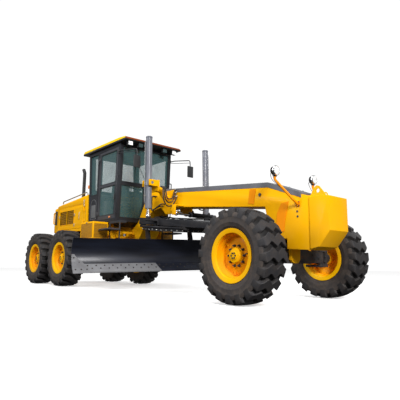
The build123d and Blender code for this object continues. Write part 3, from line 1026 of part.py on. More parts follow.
DOOR_LOW = CAB_FLOOR_Z + 60
DOOR_HIGH = CAB_TOP_Z - 80
DOOR_THICK = 45
DOOR_GAP = 6
DOOR_HINGES = (DOOR_LOW + 160, DOOR_HIGH - 160)
PILLAR = 75
MID_BAR_Z = 2300
SIDE_REAR_WINDOW = [(DOOR_REAR_X - PILLAR, 2150), (DOOR_REAR_X - PILLAR, DOOR_HIGH),
                    (rear_x(DOOR_HIGH) + PILLAR, DOOR_HIGH), (rear_x(2150) + PILLAR, 2150)]
DOOR_OUTLINE = [(DOOR_REAR_X, DOOR_LOW), (DOOR_REAR_X, DOOR_HIGH), (front_x(DOOR_HIGH) - PILLAR, DOOR_HIGH),
                (front_x(DOOR_LOW) - PILLAR, DOOR_LOW)]
with BuildPart() as cab_frame:
    side_slab(CAB_SIDE, -CAB_HALF_WIDTH, CAB_HALF_WIDTH)
    inner_side = [(front_x(CAB_FLOOR_Z + 60) - CAB_WALL, CAB_FLOOR_Z + 60),
                  (front_x(CAB_TOP_Z) - CAB_WALL, CAB_TOP_Z - CAB_WALL),
                  (rear_x(CAB_TOP_Z) + CAB_WALL, CAB_TOP_Z - CAB_WALL),
                  (rear_x(CAB_FLOOR_Z + 60) + CAB_WALL, CAB_FLOOR_Z + 60)]
    side_slab(inner_side, -CAB_HALF_WIDTH + CAB_WALL, CAB_HALF_WIDTH - CAB_WALL, mode=Mode.SUBTRACT)
    side_slab(DOOR_OUTLINE, -CAB_HALF_WIDTH - 1, CAB_HALF_WIDTH + 1, mode=Mode.SUBTRACT)
    side_slab(SIDE_REAR_WINDOW, -CAB_HALF_WIDTH - 1, CAB_HALF_WIDTH + 1, mode=Mode.SUBTRACT)
    for y_low, y_high, z_low, z_high in (          # front screen, then the two lower panes
            (-620, 620, MID_BAR_Z + 45, DOOR_HIGH), (-620, -40, DOOR_LOW + 40, MID_BAR_Z - 45),
            (40, 620, DOOR_LOW + 40, MID_BAR_Z - 45)):
        side_slab(slanted(front_x, -CAB_WALL - 20, z_low, z_high, CAB_WALL + 40), y_low, y_high,
                  mode=Mode.SUBTRACT)
    side_slab(slanted(rear_x, -20, MID_BAR_Z, DOOR_HIGH, CAB_WALL + 40), -560, 560, mode=Mode.SUBTRACT)
    for side in (-1, 1):
        for hinge_z in DOOR_HINGES:
            hinge_leaf(DOOR_REAR_X, CAB_HALF_WIDTH, side, hinge_z, -1, False)
write(cab_frame, "cab_frame")

with BuildPart() as cab_glass:
    for y_low, y_high, z_low, z_high in (
            (-620, 620, MID_BAR_Z + 45, DOOR_HIGH), (-620, -40, DOOR_LOW + 40, MID_BAR_Z - 45),
            (40, 620, DOOR_LOW + 40, MID_BAR_Z - 45)):
        side_slab(slanted(front_x, -CAB_WALL / 2, z_low + FIT, z_high - FIT, GLASS), y_low + FIT, y_high - FIT)
    side_slab(slanted(rear_x, CAB_WALL / 2, MID_BAR_Z + FIT, DOOR_HIGH - FIT, GLASS), -560 + FIT, 560 - FIT)
    for side in (-1, 1):
        near, far = sorted((side * (CAB_HALF_WIDTH - 32), side * (CAB_HALF_WIDTH - 32 + GLASS)))
        (rear_low, z_low), (_, z_high) = SIDE_REAR_WINDOW[0], SIDE_REAR_WINDOW[1]
        side_slab([(rear_low - FIT, z_low + FIT), (rear_low - FIT, z_high - FIT),
                   (SIDE_REAR_WINDOW[2][0] + FIT, z_high - FIT), (SIDE_REAR_WINDOW[3][0] + FIT, z_low + FIT)],
                  near, far)
write(cab_glass, "cab_glass")

DOOR_PANES = ((DOOR_LOW + 110, MID_BAR_Z - 40), (MID_BAR_Z + 40, DOOR_HIGH - 70))
for side_name, side in SIDES:
    outer = CAB_HALF_WIDTH
    inner = CAB_HALF_WIDTH - DOOR_THICK
    low, high = DOOR_LOW + DOOR_GAP, DOOR_HIGH - DOOR_GAP
    shut_x = PILLAR + DOOR_GAP
    with BuildPart() as cab_door:
        near, far = sorted((side * inner, side * outer))
        side_slab([(DOOR_REAR_X + DOOR_GAP, low), (DOOR_REAR_X + DOOR_GAP, high), (front_x(high) - shut_x, high),
                   (front_x(low) - shut_x, low)], near, far)
        for z_low, z_high in DOOR_PANES:
            side_slab([(DOOR_REAR_X + 75, z_low), (DOOR_REAR_X + 75, z_high), (front_x(z_high) - shut_x - 65, z_high),
                       (front_x(z_low) - shut_x - 65, z_low)], near - 1, far + 1, mode=Mode.SUBTRACT)
        for hinge_z in DOOR_HINGES:
            hinge_leaf(DOOR_REAR_X, CAB_HALF_WIDTH, side, hinge_z, 1, True)
    write(cab_door, f"cab_door_{side_name}")
    with BuildPart() as door_glass:
        near, far = sorted((side * (outer - 24), side * (outer - 24 + GLASS)))
        for z_low, z_high in DOOR_PANES:
            side_slab([(DOOR_REAR_X + 75 + FIT, z_low + FIT), (DOOR_REAR_X + 75 + FIT, z_high - FIT),
                       (front_x(z_high) - shut_x - 65 - FIT, z_high - FIT),
                       (front_x(z_low) - shut_x - 65 - FIT, z_low + FIT)], near, far)
    write(door_glass, f"door_glass_{side_name}")

with BuildPart() as cab_roof:
    side_slab([(ROOF_FRONT_X, CAB_TOP_Z + 20), (ROOF_FRONT_X - 60, CAB_TOP_Z + ROOF_THICK - 20),
               (ROOF_FRONT_X - 300, CAB_TOP_Z + ROOF_THICK), (ROOF_REAR_X + 60, CAB_TOP_Z + ROOF_THICK),
               (ROOF_REAR_X, CAB_TOP_Z + 40), (ROOF_REAR_X, CAB_TOP_Z + FIT), (ROOF_FRONT_X - 20, CAB_TOP_Z + FIT)],
              -ROOF_HALF_WIDTH, ROOF_HALF_WIDTH)
write(cab_roof, "cab_roof")

with BuildPart() as driver_seat:
    block(-1560, -1060, -250, 250, CAB_FLOOR_Z + 420, CAB_FLOOR_Z + 540, rounding=60)
    side_slab([(-1560, CAB_FLOOR_Z + 480), (-1440, CAB_FLOOR_Z + 480), (-1520, CAB_FLOOR_Z + 1150),
               (-1640, CAB_FLOOR_Z + 1150)], -230, 230, rounding=30)
    block(-1450, -1150, -160, 160, CAB_FLOOR_Z + 60 + FIT, CAB_FLOOR_Z + 421)
write(driver_seat, "driver_seat")

with BuildPart() as steering_console:
    side_slab([(-860, CAB_FLOOR_Z + 60 + FIT), (-640, CAB_FLOOR_Z + 60 + FIT), (-700, CAB_FLOOR_Z + 760),
               (-860, CAB_FLOOR_Z + 720)], -110, 110, rounding=20)
    rod((-800, 0, CAB_FLOOR_Z + 700), (-870, 0, CAB_FLOOR_Z + 850), 22)
    with BuildSketch(Plane(origin=(-870, 0, CAB_FLOOR_Z + 850), z_dir=(-0.42, 0, 0.907))) as wheel_disc:
        Circle(200)
        Circle(168, mode=Mode.SUBTRACT)
        Rectangle(30, 350)
        Circle(45)
    extrude(wheel_disc.sketch, amount=26)
write(steering_console, "steering_console")

MIRROR_ARM_Z = CAB_TOP_Z - 200
with BuildPart() as cab_fittings:
    for side in (-1, 1):
        # mirror on its arm
        block(-470, -420, *sorted((side * (CAB_HALF_WIDTH + FIT), side * (CAB_HALF_WIDTH + 22))), MIRROR_ARM_Z - 40,
              MIRROR_ARM_Z + 40)
        pipe([(-445, side * (CAB_HALF_WIDTH + 14), MIRROR_ARM_Z), (-300, side * (CAB_HALF_WIDTH + 30), MIRROR_ARM_Z),
              (300, side * (CAB_HALF_WIDTH + 20), MIRROR_ARM_Z - 100),
              (310, side * (CAB_HALF_WIDTH + 20), MIRROR_ARM_Z - 260)], 12, 20)
        block(296, 330, *sorted((side * (CAB_HALF_WIDTH - 60), side * (CAB_HALF_WIDTH + 100))), MIRROR_ARM_Z - 500,
              MIRROR_ARM_Z - 240, rounding=12)
        # work lamps under the roof's front
        for lamp_y in (330, 600):
            centre_y = side * lamp_y
            block(ROOF_FRONT_X - 150, ROOF_FRONT_X - 70, centre_y - 55, centre_y + 55, CAB_TOP_Z - 95, CAB_TOP_Z - 5)
            block(ROOF_FRONT_X - 120, ROOF_FRONT_X - 100, centre_y - 12, centre_y + 12, CAB_TOP_Z - 6, CAB_TOP_Z)
write(cab_fittings, "cab_fittings")

with BuildPart() as guard_rails:
    for side in (-1, 1):
        rail_y = side * (HOOD_HALF_WIDTH - 90)
        pipe([(-2100, rail_y, hood_top(-2100) - 10), (-2100, rail_y, hood_top(-2100) + 100),
              (-3560, rail_y, hood_top(-3560) + 100), (-3560, rail_y, hood_top(-3560) - 10)], 15, 60)
    side_slab([(-2000, hood_top(-2000) + FIT), (-3660, hood_top(-3660) + FIT), (-3660, hood_top(-3660) - 90),
               (-2000, hood_top(-2000) - 90)], -HOOD_HALF_WIDTH, HOOD_HALF_WIDTH, mode=Mode.SUBTRACT)
    for side in (-1, 1):
        guard_y = side * (HOOD_HALF_WIDTH + 20)
        pipe([(HOOD_REAR_X - 20, guard_y, 1600), (HOOD_REAR_X - 190, guard_y, 1600),
              (HOOD_REAR_X - 190, guard_y, 1900), (HOOD_REAR_X - 20, guard_y, 1900)], 17, 50)
        block(HOOD_REAR_X - 40, HOOD_REAR_X - 10, *sorted((side * (610 + FIT), side * (HOOD_HALF_WIDTH + 45))),
              1560, 1940)
        block(HOOD_REAR_X - 130, HOOD_REAR_X - 40, *sorted((side * 625, side * 690)), 1660, 1840)
write(guard_rails, "guard_rails")
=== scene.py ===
"""Dresses the motor grader: paints, tyres with their tread, cab fittings, grilles, bolts and hoses."""
import json
from math import atan2, cos, pi, radians, sin, sqrt

import bmesh
import bpy
from mathutils import Matrix, Vector

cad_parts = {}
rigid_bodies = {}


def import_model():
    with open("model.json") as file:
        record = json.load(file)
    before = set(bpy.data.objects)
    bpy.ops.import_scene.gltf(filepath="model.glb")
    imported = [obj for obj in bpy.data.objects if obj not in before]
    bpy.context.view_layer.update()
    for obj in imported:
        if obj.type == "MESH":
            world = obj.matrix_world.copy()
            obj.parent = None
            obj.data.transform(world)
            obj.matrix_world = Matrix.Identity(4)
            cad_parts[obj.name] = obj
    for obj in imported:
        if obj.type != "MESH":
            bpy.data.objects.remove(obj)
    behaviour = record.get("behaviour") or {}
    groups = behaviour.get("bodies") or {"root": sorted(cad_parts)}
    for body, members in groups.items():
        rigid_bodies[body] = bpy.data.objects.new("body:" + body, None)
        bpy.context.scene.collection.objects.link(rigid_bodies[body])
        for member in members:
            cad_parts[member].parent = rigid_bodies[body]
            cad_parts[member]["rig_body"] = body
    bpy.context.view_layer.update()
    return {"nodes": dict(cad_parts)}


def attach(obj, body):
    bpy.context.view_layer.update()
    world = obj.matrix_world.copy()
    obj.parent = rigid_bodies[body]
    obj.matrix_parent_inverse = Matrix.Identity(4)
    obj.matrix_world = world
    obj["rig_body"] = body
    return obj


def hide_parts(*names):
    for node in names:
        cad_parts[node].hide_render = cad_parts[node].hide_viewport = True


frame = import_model()
scene = bpy.context.scene
nodes = frame["nodes"]


# ---------------------------------------------------------------- camera and light
def place_camera():
    """Sets the camera ahead of the machine's right front wheel, low, looking back along it."""
    data = bpy.data.cameras.new("camera")
    camera = bpy.data.objects.new("camera", data)
    scene.collection.objects.link(camera)
    yaw, roll = 2.4198, 0.0094
    ahead = Vector((-0.7416, 0.6528, 0.1544)).normalized()
    level = Vector((sin(yaw), -cos(yaw), 0))
    over = level.cross(ahead)
    right = cos(roll) * level + sin(roll) * over
    up = -sin(roll) * level + cos(roll) * over
    turn = Matrix((right, up, -ahead)).transposed().to_4x4()
    camera.matrix_world = Matrix.Translation((7.400, -5.210, 0.536)) @ turn
    data.sensor_width, data.lens = 36, 37.02
    data.clip_start, data.clip_end = 0.1, 200
    scene.camera = camera


def area_light(name, place, aim, size, power, tint=(1, 1, 1)):
    """A round panel of light that faces its aim."""
    data = bpy.data.lights.new(name, "AREA")
    data.shape, data.size, data.energy, data.color = "DISK", size, power, tint
    lamp = bpy.data.objects.new(name, data)
    scene.collection.objects.link(lamp)
    way = Vector(aim) - Vector(place)
    lamp.matrix_world = Matrix.Translation(place) @ way.to_track_quat("-Z", "Y").to_matrix().to_4x4()


def light_world():
    """White behind the machine; the light it gives is soft from above and dim from below."""
    world = bpy.data.worlds.new("studio")
    scene.world = world
    world.use_nodes = True
    backdrop = world.node_tree.nodes["Background"]
    backdrop.inputs["Color"].default_value = (1, 1, 1, 1)
    make, wire = world.node_tree.nodes.new, world.node_tree.links.new
    rays, way, split = make("ShaderNodeLightPath"), make("ShaderNodeTexCoord"), make("ShaderNodeSeparateXYZ")
    wire(way.outputs["Generated"], split.inputs[0])
    glow, level = make("ShaderNodeMapRange"), make("ShaderNodeMix")
    for socket, value in (("From Min", -0.25), ("From Max", 0.35), ("To Min", 0.10), ("To Max", 0.48)):
        glow.inputs[socket].default_value = value
    wire(split.outputs["Z"], glow.inputs["Value"])
    wire(rays.outputs["Is Camera Ray"], level.inputs[0])
    wire(glow.outputs[0], level.inputs[2])
    level.inputs[3].default_value = 1.05
    wire(level.outputs[0], backdrop.inputs["Strength"])


place_camera()
scene.view_settings.view_transform = "Standard"
area_light("sky_panel", (1, -4, 12), (0, 0, 0), 8, 700)
area_light("key_panel", (15, -6, 7), (2, 0, 1), 4, 2300, (1, 0.985, 0.96))
area_light("side_panel", (-4, -13, 6), (-2.5, 0, 1.4), 4, 640, (0.97, 0.98, 1))
area_light("far_panel", (3, 12, 6), (0, 0, 1.5), 6, 180)
light_world()


# ---------------------------------------------------------------- finishes
class Signal:
    """A value that changes over a surface; sums on it add Math nodes."""

    def __init__(self, finish, socket):
        self.finish, self.socket = finish, socket

    def sum(self, operation, *terms):
        return self.finish.add("ShaderNodeMath", {"operation": operation}, dict(enumerate(terms)))

    def __add__(self, other):
        return self.sum("ADD", self, other)

    def __sub__(self, other):
        return self.sum("SUBTRACT", self, other)

    def __rsub__(self, other):
        return self.sum("SUBTRACT", other, self)

    def __mul__(self, other):
        return self.sum("MULTIPLY", self, other)

    def __truediv__(self, other):
        return self.sum("DIVIDE", self, other)

    def __rtruediv__(self, other):
        return self.sum("DIVIDE", other, self)

    __radd__, __rmul__ = __add__, __mul__


class Finish:
    """A material for one of the machine's surfaces."""

    def __init__(self, name, **sockets):
        self.material = bpy.data.materials.new(name)
        self.material.use_nodes = True
        self.tree = self.material.node_tree
        self.shader = self.tree.nodes["Principled BSDF"]
        for socket, value in sockets.items():
            self.shader.inputs[socket.replace("_", " ")].default_value = value
        self.spot = self.add("ShaderNodeTexCoord", {}, {}, "Object")

    def add(self, kind, settings, inputs, output=0):
        node = self.tree.nodes.new(kind)
        for key, value in settings.items():
            setattr(node, key, value)
        for key, value in inputs.items():
            if isinstance(value, Signal):
                self.tree.links.new(value.socket, node.inputs[key])
            else:
                node.inputs[key].default_value = value
        return Signal(self, node.outputs[output])

    def feed(self, **signals):
        """Feeds the shader's sockets and gives the material."""
        for socket, signal in signals.items():
            self.tree.links.new(signal.socket, self.shader.inputs[socket.replace("_", " ")])
        return self.material

    def relief(self, height, depth, strength=1.0):
        return self.add("ShaderNodeBump", {}, {"Height": height, "Distance": depth, "Strength": strength})

    def spread(self, scale):
        return self.add("ShaderNodeMapping", {}, {"Vector": self.spot, "Scale": scale})

    def noise(self, scale, detail=3.0, rough=0.55, spot=None):
        return self.add("ShaderNodeTexNoise", {}, {"Vector": spot or self.spot, "Scale": scale,
                                                   "Detail": detail, "Roughness": rough}, "Fac")

    def wave(self, direction, scale, distortion):
        return self.add("ShaderNodeTexWave", {"bands_direction": direction},
                        {"Vector": self.spot, "Scale": scale, "Distortion": distortion}, "Fac")

    def step(self, signal, low, high):
        return self.add("ShaderNodeMapRange", {}, {"Value": signal, "From Min": low, "From Max": high})

    def tint(self, first, second, share):
        first, second = (c if isinstance(c, Signal) else (*c, 1) for c in (first, second))
        return self.add("ShaderNodeMix", {"data_type": "RGBA"}, {0: share, 6: first, 7: second}, 2)

    def axis(self, name):
        return self.add("ShaderNodeSeparateXYZ", {}, {"Vector": self.spot}, name)


DUST = (0.36, 0.27, 0.18)


def darker(colour, share):
    return tuple(c * share for c in colour)


def sprayed(name, colour, deep, gloss=0.4, coat=0.03, dust=0.15):
    """Sprayed paint: slight orange peel, uneven sheen, small chips and dust low on the machine."""
    f = Finish(name, Coat_Roughness=0.15, Specular_IOR_Level=0.04)
    wide = f.noise(1.3, 4)
    low = f.step(f.axis("Z"), 1.5, 0.1) * f.step(f.noise(3.2, 6, 0.65), 0.4, 0.72) * dust
    specks = f.step(f.noise(70, 4, 0.7), 0.66, 0.72) * 0.22
    shade = f.tint(f.tint(colour, deep, f.step(wide, 0.35, 0.75)), DUST, low)
    return f.feed(Base_Color=f.tint(shade, darker(deep, 0.45), specks * f.step(wide, 0.45, 0.6)),
                  Roughness=f.step(f.noise(7, 5), 0.2, 0.8) * 0.16 + gloss + low * 0.4,
                  Coat_Weight=(1 - low) * coat, Normal=f.relief(f.noise(190, 2, 0.6), 0.00012))


def worn_steel(name, colour, dark, rough=0.38, metal=0.85):
    """Bare or thinly painted steel with fine scratches and dull patches."""
    f = Finish(name)
    lines = f.noise(22, 5, 0.7, f.spread((1, 30, 30)))
    patch = f.noise(5, 6, 0.65)
    shade = f.tint(colour, dark, f.step(patch, 0.35, 0.7))
    return f.feed(Base_Color=f.tint(shade, darker(dark, 0.6), f.step(lines, 0.55, 0.8) * 0.6),
                  Metallic=f.step(patch, 0.8, 0.3) * metal, Roughness=f.step(lines, 0.2, 0.8) * 0.25 + rough,
                  Normal=f.relief(lines, 0.0004, 0.6))


def black_rubber(name, colour, dust_share, pebble):
    """Tyre rubber: matt, browned by dust in the hollows, with a fine pebble."""
    f = Finish(name, Specular_IOR_Level=0.35)
    fine = f.noise(60, 5, 0.7)
    shade = f.tint(colour, darker(colour, 0.55), f.step(f.noise(4.5, 6, 0.7), 0.3, 0.7))
    dust = f.step(f.noise(9, 7, 0.75), 0.42, 0.75) * dust_share
    return f.feed(Base_Color=f.tint(shade, (0.15, 0.115, 0.09), dust),
                  Roughness=f.step(fine, 0.2, 0.8) * 0.22 + 0.5 + dust * 0.3, Normal=f.relief(fine, pebble))


def moulded(name, colour, rough=0.45, grain=0.0003, scale=140):
    """Moulded plastic or rubber trim with a fine leather-like grain."""
    f = Finish(name)
    cells = f.add("ShaderNodeTexVoronoi", {"feature": "DISTANCE_TO_EDGE"}, {"Vector": f.spot, "Scale": scale},
                  "Distance")
    patch = f.noise(6, 4)
    worn = tuple(c * 0.7 + 0.012 for c in colour)
    return f.feed(Base_Color=f.tint(colour, worn, f.step(patch, 0.35, 0.7)),
                  Roughness=f.step(patch, 0.2, 0.8) * 0.15 + rough, Normal=f.relief(cells, grain, 0.7))


def blade_paint(name):
    """Glossy black enamel over a rolled plate, with long faint wipe marks; their streaks are tinted blue as a painted
    bluish sheen.
    """
    f = Finish(name, Coat_Weight=0.12, Coat_Roughness=0.2, Specular_IOR_Level=0.3)
    wipe_and_sheen = f.noise(3.2, 5, 0.6, f.spread((1, 0.25, 2.2)))
    patch = f.noise(1.1, 4)
    # the blue tint in the streaks is a painted sheen; the streaks' roughness and bump are the wipe marks
    return f.feed(Base_Color=f.tint((0.006, 0.0065, 0.010), (0.014, 0.018, 0.034), f.step(wipe_and_sheen, 0.3, 0.75)),
                  Roughness=f.step(wipe_and_sheen, 0.25, 0.8) * 0.2 + f.step(patch, 0.3, 0.7) * 0.08 + 0.24,
                  Metallic=f.step(patch, 0.3, 0.8) * 0.2 + 0.1, Normal=f.relief(wipe_and_sheen, 0.0012, 0.5))


def window_glass(name, colour, alpha):
    """Tinted safety glass, clean but for a faint haze."""
    f = Finish(name, Roughness=0.03, IOR=1.45, Coat_Weight=0.25, Coat_Roughness=0.02)
    haze = f.step(f.noise(3.5, 5, 0.6), 0.35, 0.8)
    return f.feed(Base_Color=f.tint(colour, darker(colour, 0.8), haze), Alpha=haze * 0.08 + alpha)


def lamp_glass(name, colour, glow):
    """Fluted lamp lens that glows a little."""
    f = Finish(name, Roughness=0.12, IOR=1.5, Coat_Weight=0.8, Emission_Strength=glow)
    flutes = f.wave("Y", 22.0, 0.0)
    return f.feed(Base_Color=f.tint(colour, darker(colour, 0.7), flutes),
                  Emission_Color=f.tint(colour, (1, 1, 1), flutes * 0.3), Normal=f.relief(flutes, 0.0015))


def perforated(name, hole, metal, pitch, slots=False):
    """Sheet punched with rows of staggered holes or slots; the holes are painted in the hole colour, near black, as
    painted shade behind the sheet.
    """
    f = Finish(name, Specular_IOR_Level=0.3)
    up = f.axis("Z") / (pitch * (0.55 if slots else 0.87))
    row = up.sum("FLOOR", up)
    place = f.axis("X") / pitch + row.sum("PINGPONG", row, 1.0) * 0.5
    x = place.sum("FRACT", place) - 0.5
    z = up.sum("FRACT", up) - 0.5
    reach = x * x * (0.45 if slots else 1.0) + z * z * (1.6 if slots else 0.8)
    inside = f.step(reach.sum("SQRT", reach), 0.33, 0.29)
    # the hole colour is painted shade behind the screen
    return f.feed(Base_Color=f.tint(metal, hole, inside), Roughness=inside * 0.4 + 0.45,
                  Normal=f.relief(1 - inside, 0.002))


def bright_metal(name, colour, rough):
    """Polished or plated steel with faint circular haze."""
    f = Finish(name, Metallic=1.0)
    patch = f.noise(14, 5, 0.6)
    return f.feed(Base_Color=f.tint(colour, darker(colour, 0.75), f.step(patch, 0.4, 0.75)),
                  Roughness=f.step(patch, 0.2, 0.8) * 0.12 + rough, Normal=f.relief(f.noise(220, 2), 0.00004))


def woven_seat(name):
    """Dark woven seat cover."""
    f = Finish(name, Sheen_Weight=0.3)
    warp, weft = f.wave("X", 90.0, 0.4), f.wave("Y", 90.0, 0.4)
    weave = warp.sum("MAXIMUM", warp, weft)
    return f.feed(Base_Color=f.tint((0.03, 0.031, 0.034), (0.075, 0.078, 0.085), weave),
                  Roughness=weave * 0.1 + 0.75, Normal=f.relief(weave, 0.001))


def gripped(name, colour):
    """Grey walkway coating with coarse grit."""
    f = Finish(name)
    patch = f.noise(3, 5)
    return f.feed(Base_Color=f.tint(colour, darker(colour, 0.62), f.step(patch, 0.3, 0.75)),
                  Roughness=f.step(patch, 0.3, 0.7) * 0.15 + 0.6, Normal=f.relief(f.noise(260, 3, 0.7), 0.0015))


YELLOW = sprayed("machine_yellow", (0.93, 0.46, 0.001), (0.87, 0.40, 0.001))
# dark brownish yellow: painted shade for the faces set back inside the hood vents
VENT_RECESS_SHADE = sprayed("vent_recess_painted_shade", (0.30, 0.16, 0.003), (0.22, 0.11, 0.003))
DOOR_GREY = sprayed("door_grey", (0.075, 0.078, 0.088), (0.045, 0.047, 0.055), 0.38, 0.2, 0.1)
# rim dish: a deeper orange that is painted shade inside the rim
RIM_DISH_SHADE = sprayed("rim_dish_painted_shade", (0.92, 0.40, 0.001), (0.80, 0.28, 0.001))
RIM_YELLOW = sprayed("rim_yellow", (0.96, 0.52, 0.001), (0.86, 0.40, 0.001))
ROOF_YELLOW = sprayed("roof_yellow", (0.90, 0.60, 0.006), (0.84, 0.50, 0.006), dust=0.1)
# roof front: red-brown that is painted shade on the yellow roof
ROOF_FRONT_SHADE = sprayed("roof_lip", (0.22, 0.045, 0.006), (0.14, 0.03, 0.006), dust=0.1)
# orange that is painted shade on the yellow, for the side plates and the lamp arm
PAINTED_SHADE_ORANGE = sprayed("painted_shade_orange", (0.90, 0.30, 0.002), (0.80, 0.24, 0.002), dust=0.1)
DARK = sprayed("cab_grey", (0.035, 0.037, 0.043), (0.02, 0.021, 0.026), 0.38, 0.2, 0.1)
GEAR_BLACK = sprayed("gear_black", (0.028, 0.029, 0.034), (0.014, 0.015, 0.018), 0.42, 0.15, 0.3)
AXLE_GREY = sprayed("axle_grey", (0.05, 0.052, 0.06), (0.03, 0.031, 0.036), 0.42, 0.15, 0.3)
CYLINDER_GREY = sprayed("cylinder_grey", (0.20, 0.21, 0.245), (0.14, 0.148, 0.175), 0.3, 0.3, 0.1)
# the screens' hole colours are painted shade seen through the openings
MESH_DARK = perforated("dark_mesh", (0.006, 0.006, 0.006), (0.035, 0.034, 0.03), 0.016)
MESH_YELLOW = perforated("slotted_yellow", (0.012, 0.009, 0.006), (0.62, 0.28, 0.004), 0.03, True)
BLADE = blade_paint("blade_black")
EDGE = worn_steel("edge_steel", (0.22, 0.225, 0.24), (0.13, 0.13, 0.14), 0.42, 0.5)
GREASED = worn_steel("greased_steel", (0.08, 0.075, 0.07), (0.03, 0.028, 0.026), 0.3, 0.7)
IRON = worn_steel("engine_iron", (0.06, 0.06, 0.062), (0.03, 0.03, 0.03), 0.6, 0.3)
CHROME = bright_metal("rod_chrome", (0.8, 0.81, 0.83), 0.08)
ZINC = bright_metal("zinc_bolt", (0.55, 0.55, 0.52), 0.3)
MIRROR = bright_metal("mirror_face", (0.85, 0.88, 0.9), 0.03)
REFLECTOR = bright_metal("lamp_reflector", (0.9, 0.9, 0.9), 0.12)
SIDEWALL = black_rubber("tyre_sidewall", (0.047, 0.040, 0.039), 0.55, 0.0006)
TREAD = black_rubber("tyre_tread", (0.027, 0.026, 0.029), 0.2, 0.0008)
# near-black rubber: painted shade at the bottom of the grooves between the tread bars
GROOVE_SHADE = black_rubber("tyre_groove_painted_shade", (0.010, 0.010, 0.011), 0.12, 0.0008)
HOSE = moulded("hose_rubber", (0.012, 0.012, 0.013), 0.4, 0.0002, 400)
SEAL = moulded("seal_rubber", (0.01, 0.01, 0.011), 0.55)
PLASTIC = moulded("black_plastic", (0.022, 0.023, 0.026), 0.42)
TRIM_GREY = moulded("trim_grey", (0.12, 0.125, 0.13), 0.5)
SEAT = woven_seat("seat_cloth")
GLASS = window_glass("cab_glass", (0.11, 0.24, 0.25), 0.27)
LENS = lamp_glass("clear_lens", (0.85, 0.88, 0.9), 0.15)
WHITE_LENS = lamp_glass("frosted_lens", (0.95, 0.96, 0.97), 0.55)
AMBER = lamp_glass("amber_lens", (0.9, 0.25, 0.02), 0.1)
RED = lamp_glass("red_lens", (0.6, 0.02, 0.015), 0.1)
WALKWAY = gripped("walkway_grey", (0.15, 0.155, 0.175))
GALVANISED = worn_steel("step_steel", (0.17, 0.175, 0.185), (0.1, 0.1, 0.11), 0.45, 0.6)

# ---------------------------------------------------------------- shaping helpers
SIDES = (("left", 1), ("right", -1))
UP = Vector((0, 0, 1))


def turns(count, first=0.0):
    """Angles of an even round."""
    return [first + 2 * pi * i / count for i in range(count)]


def circle(centre, out, over, radius, sides):
    """Points round a centre, in the plane of the ways out and over."""
    return [centre + (out * cos(a) + over * sin(a)) * radius for a in turns(sides)]


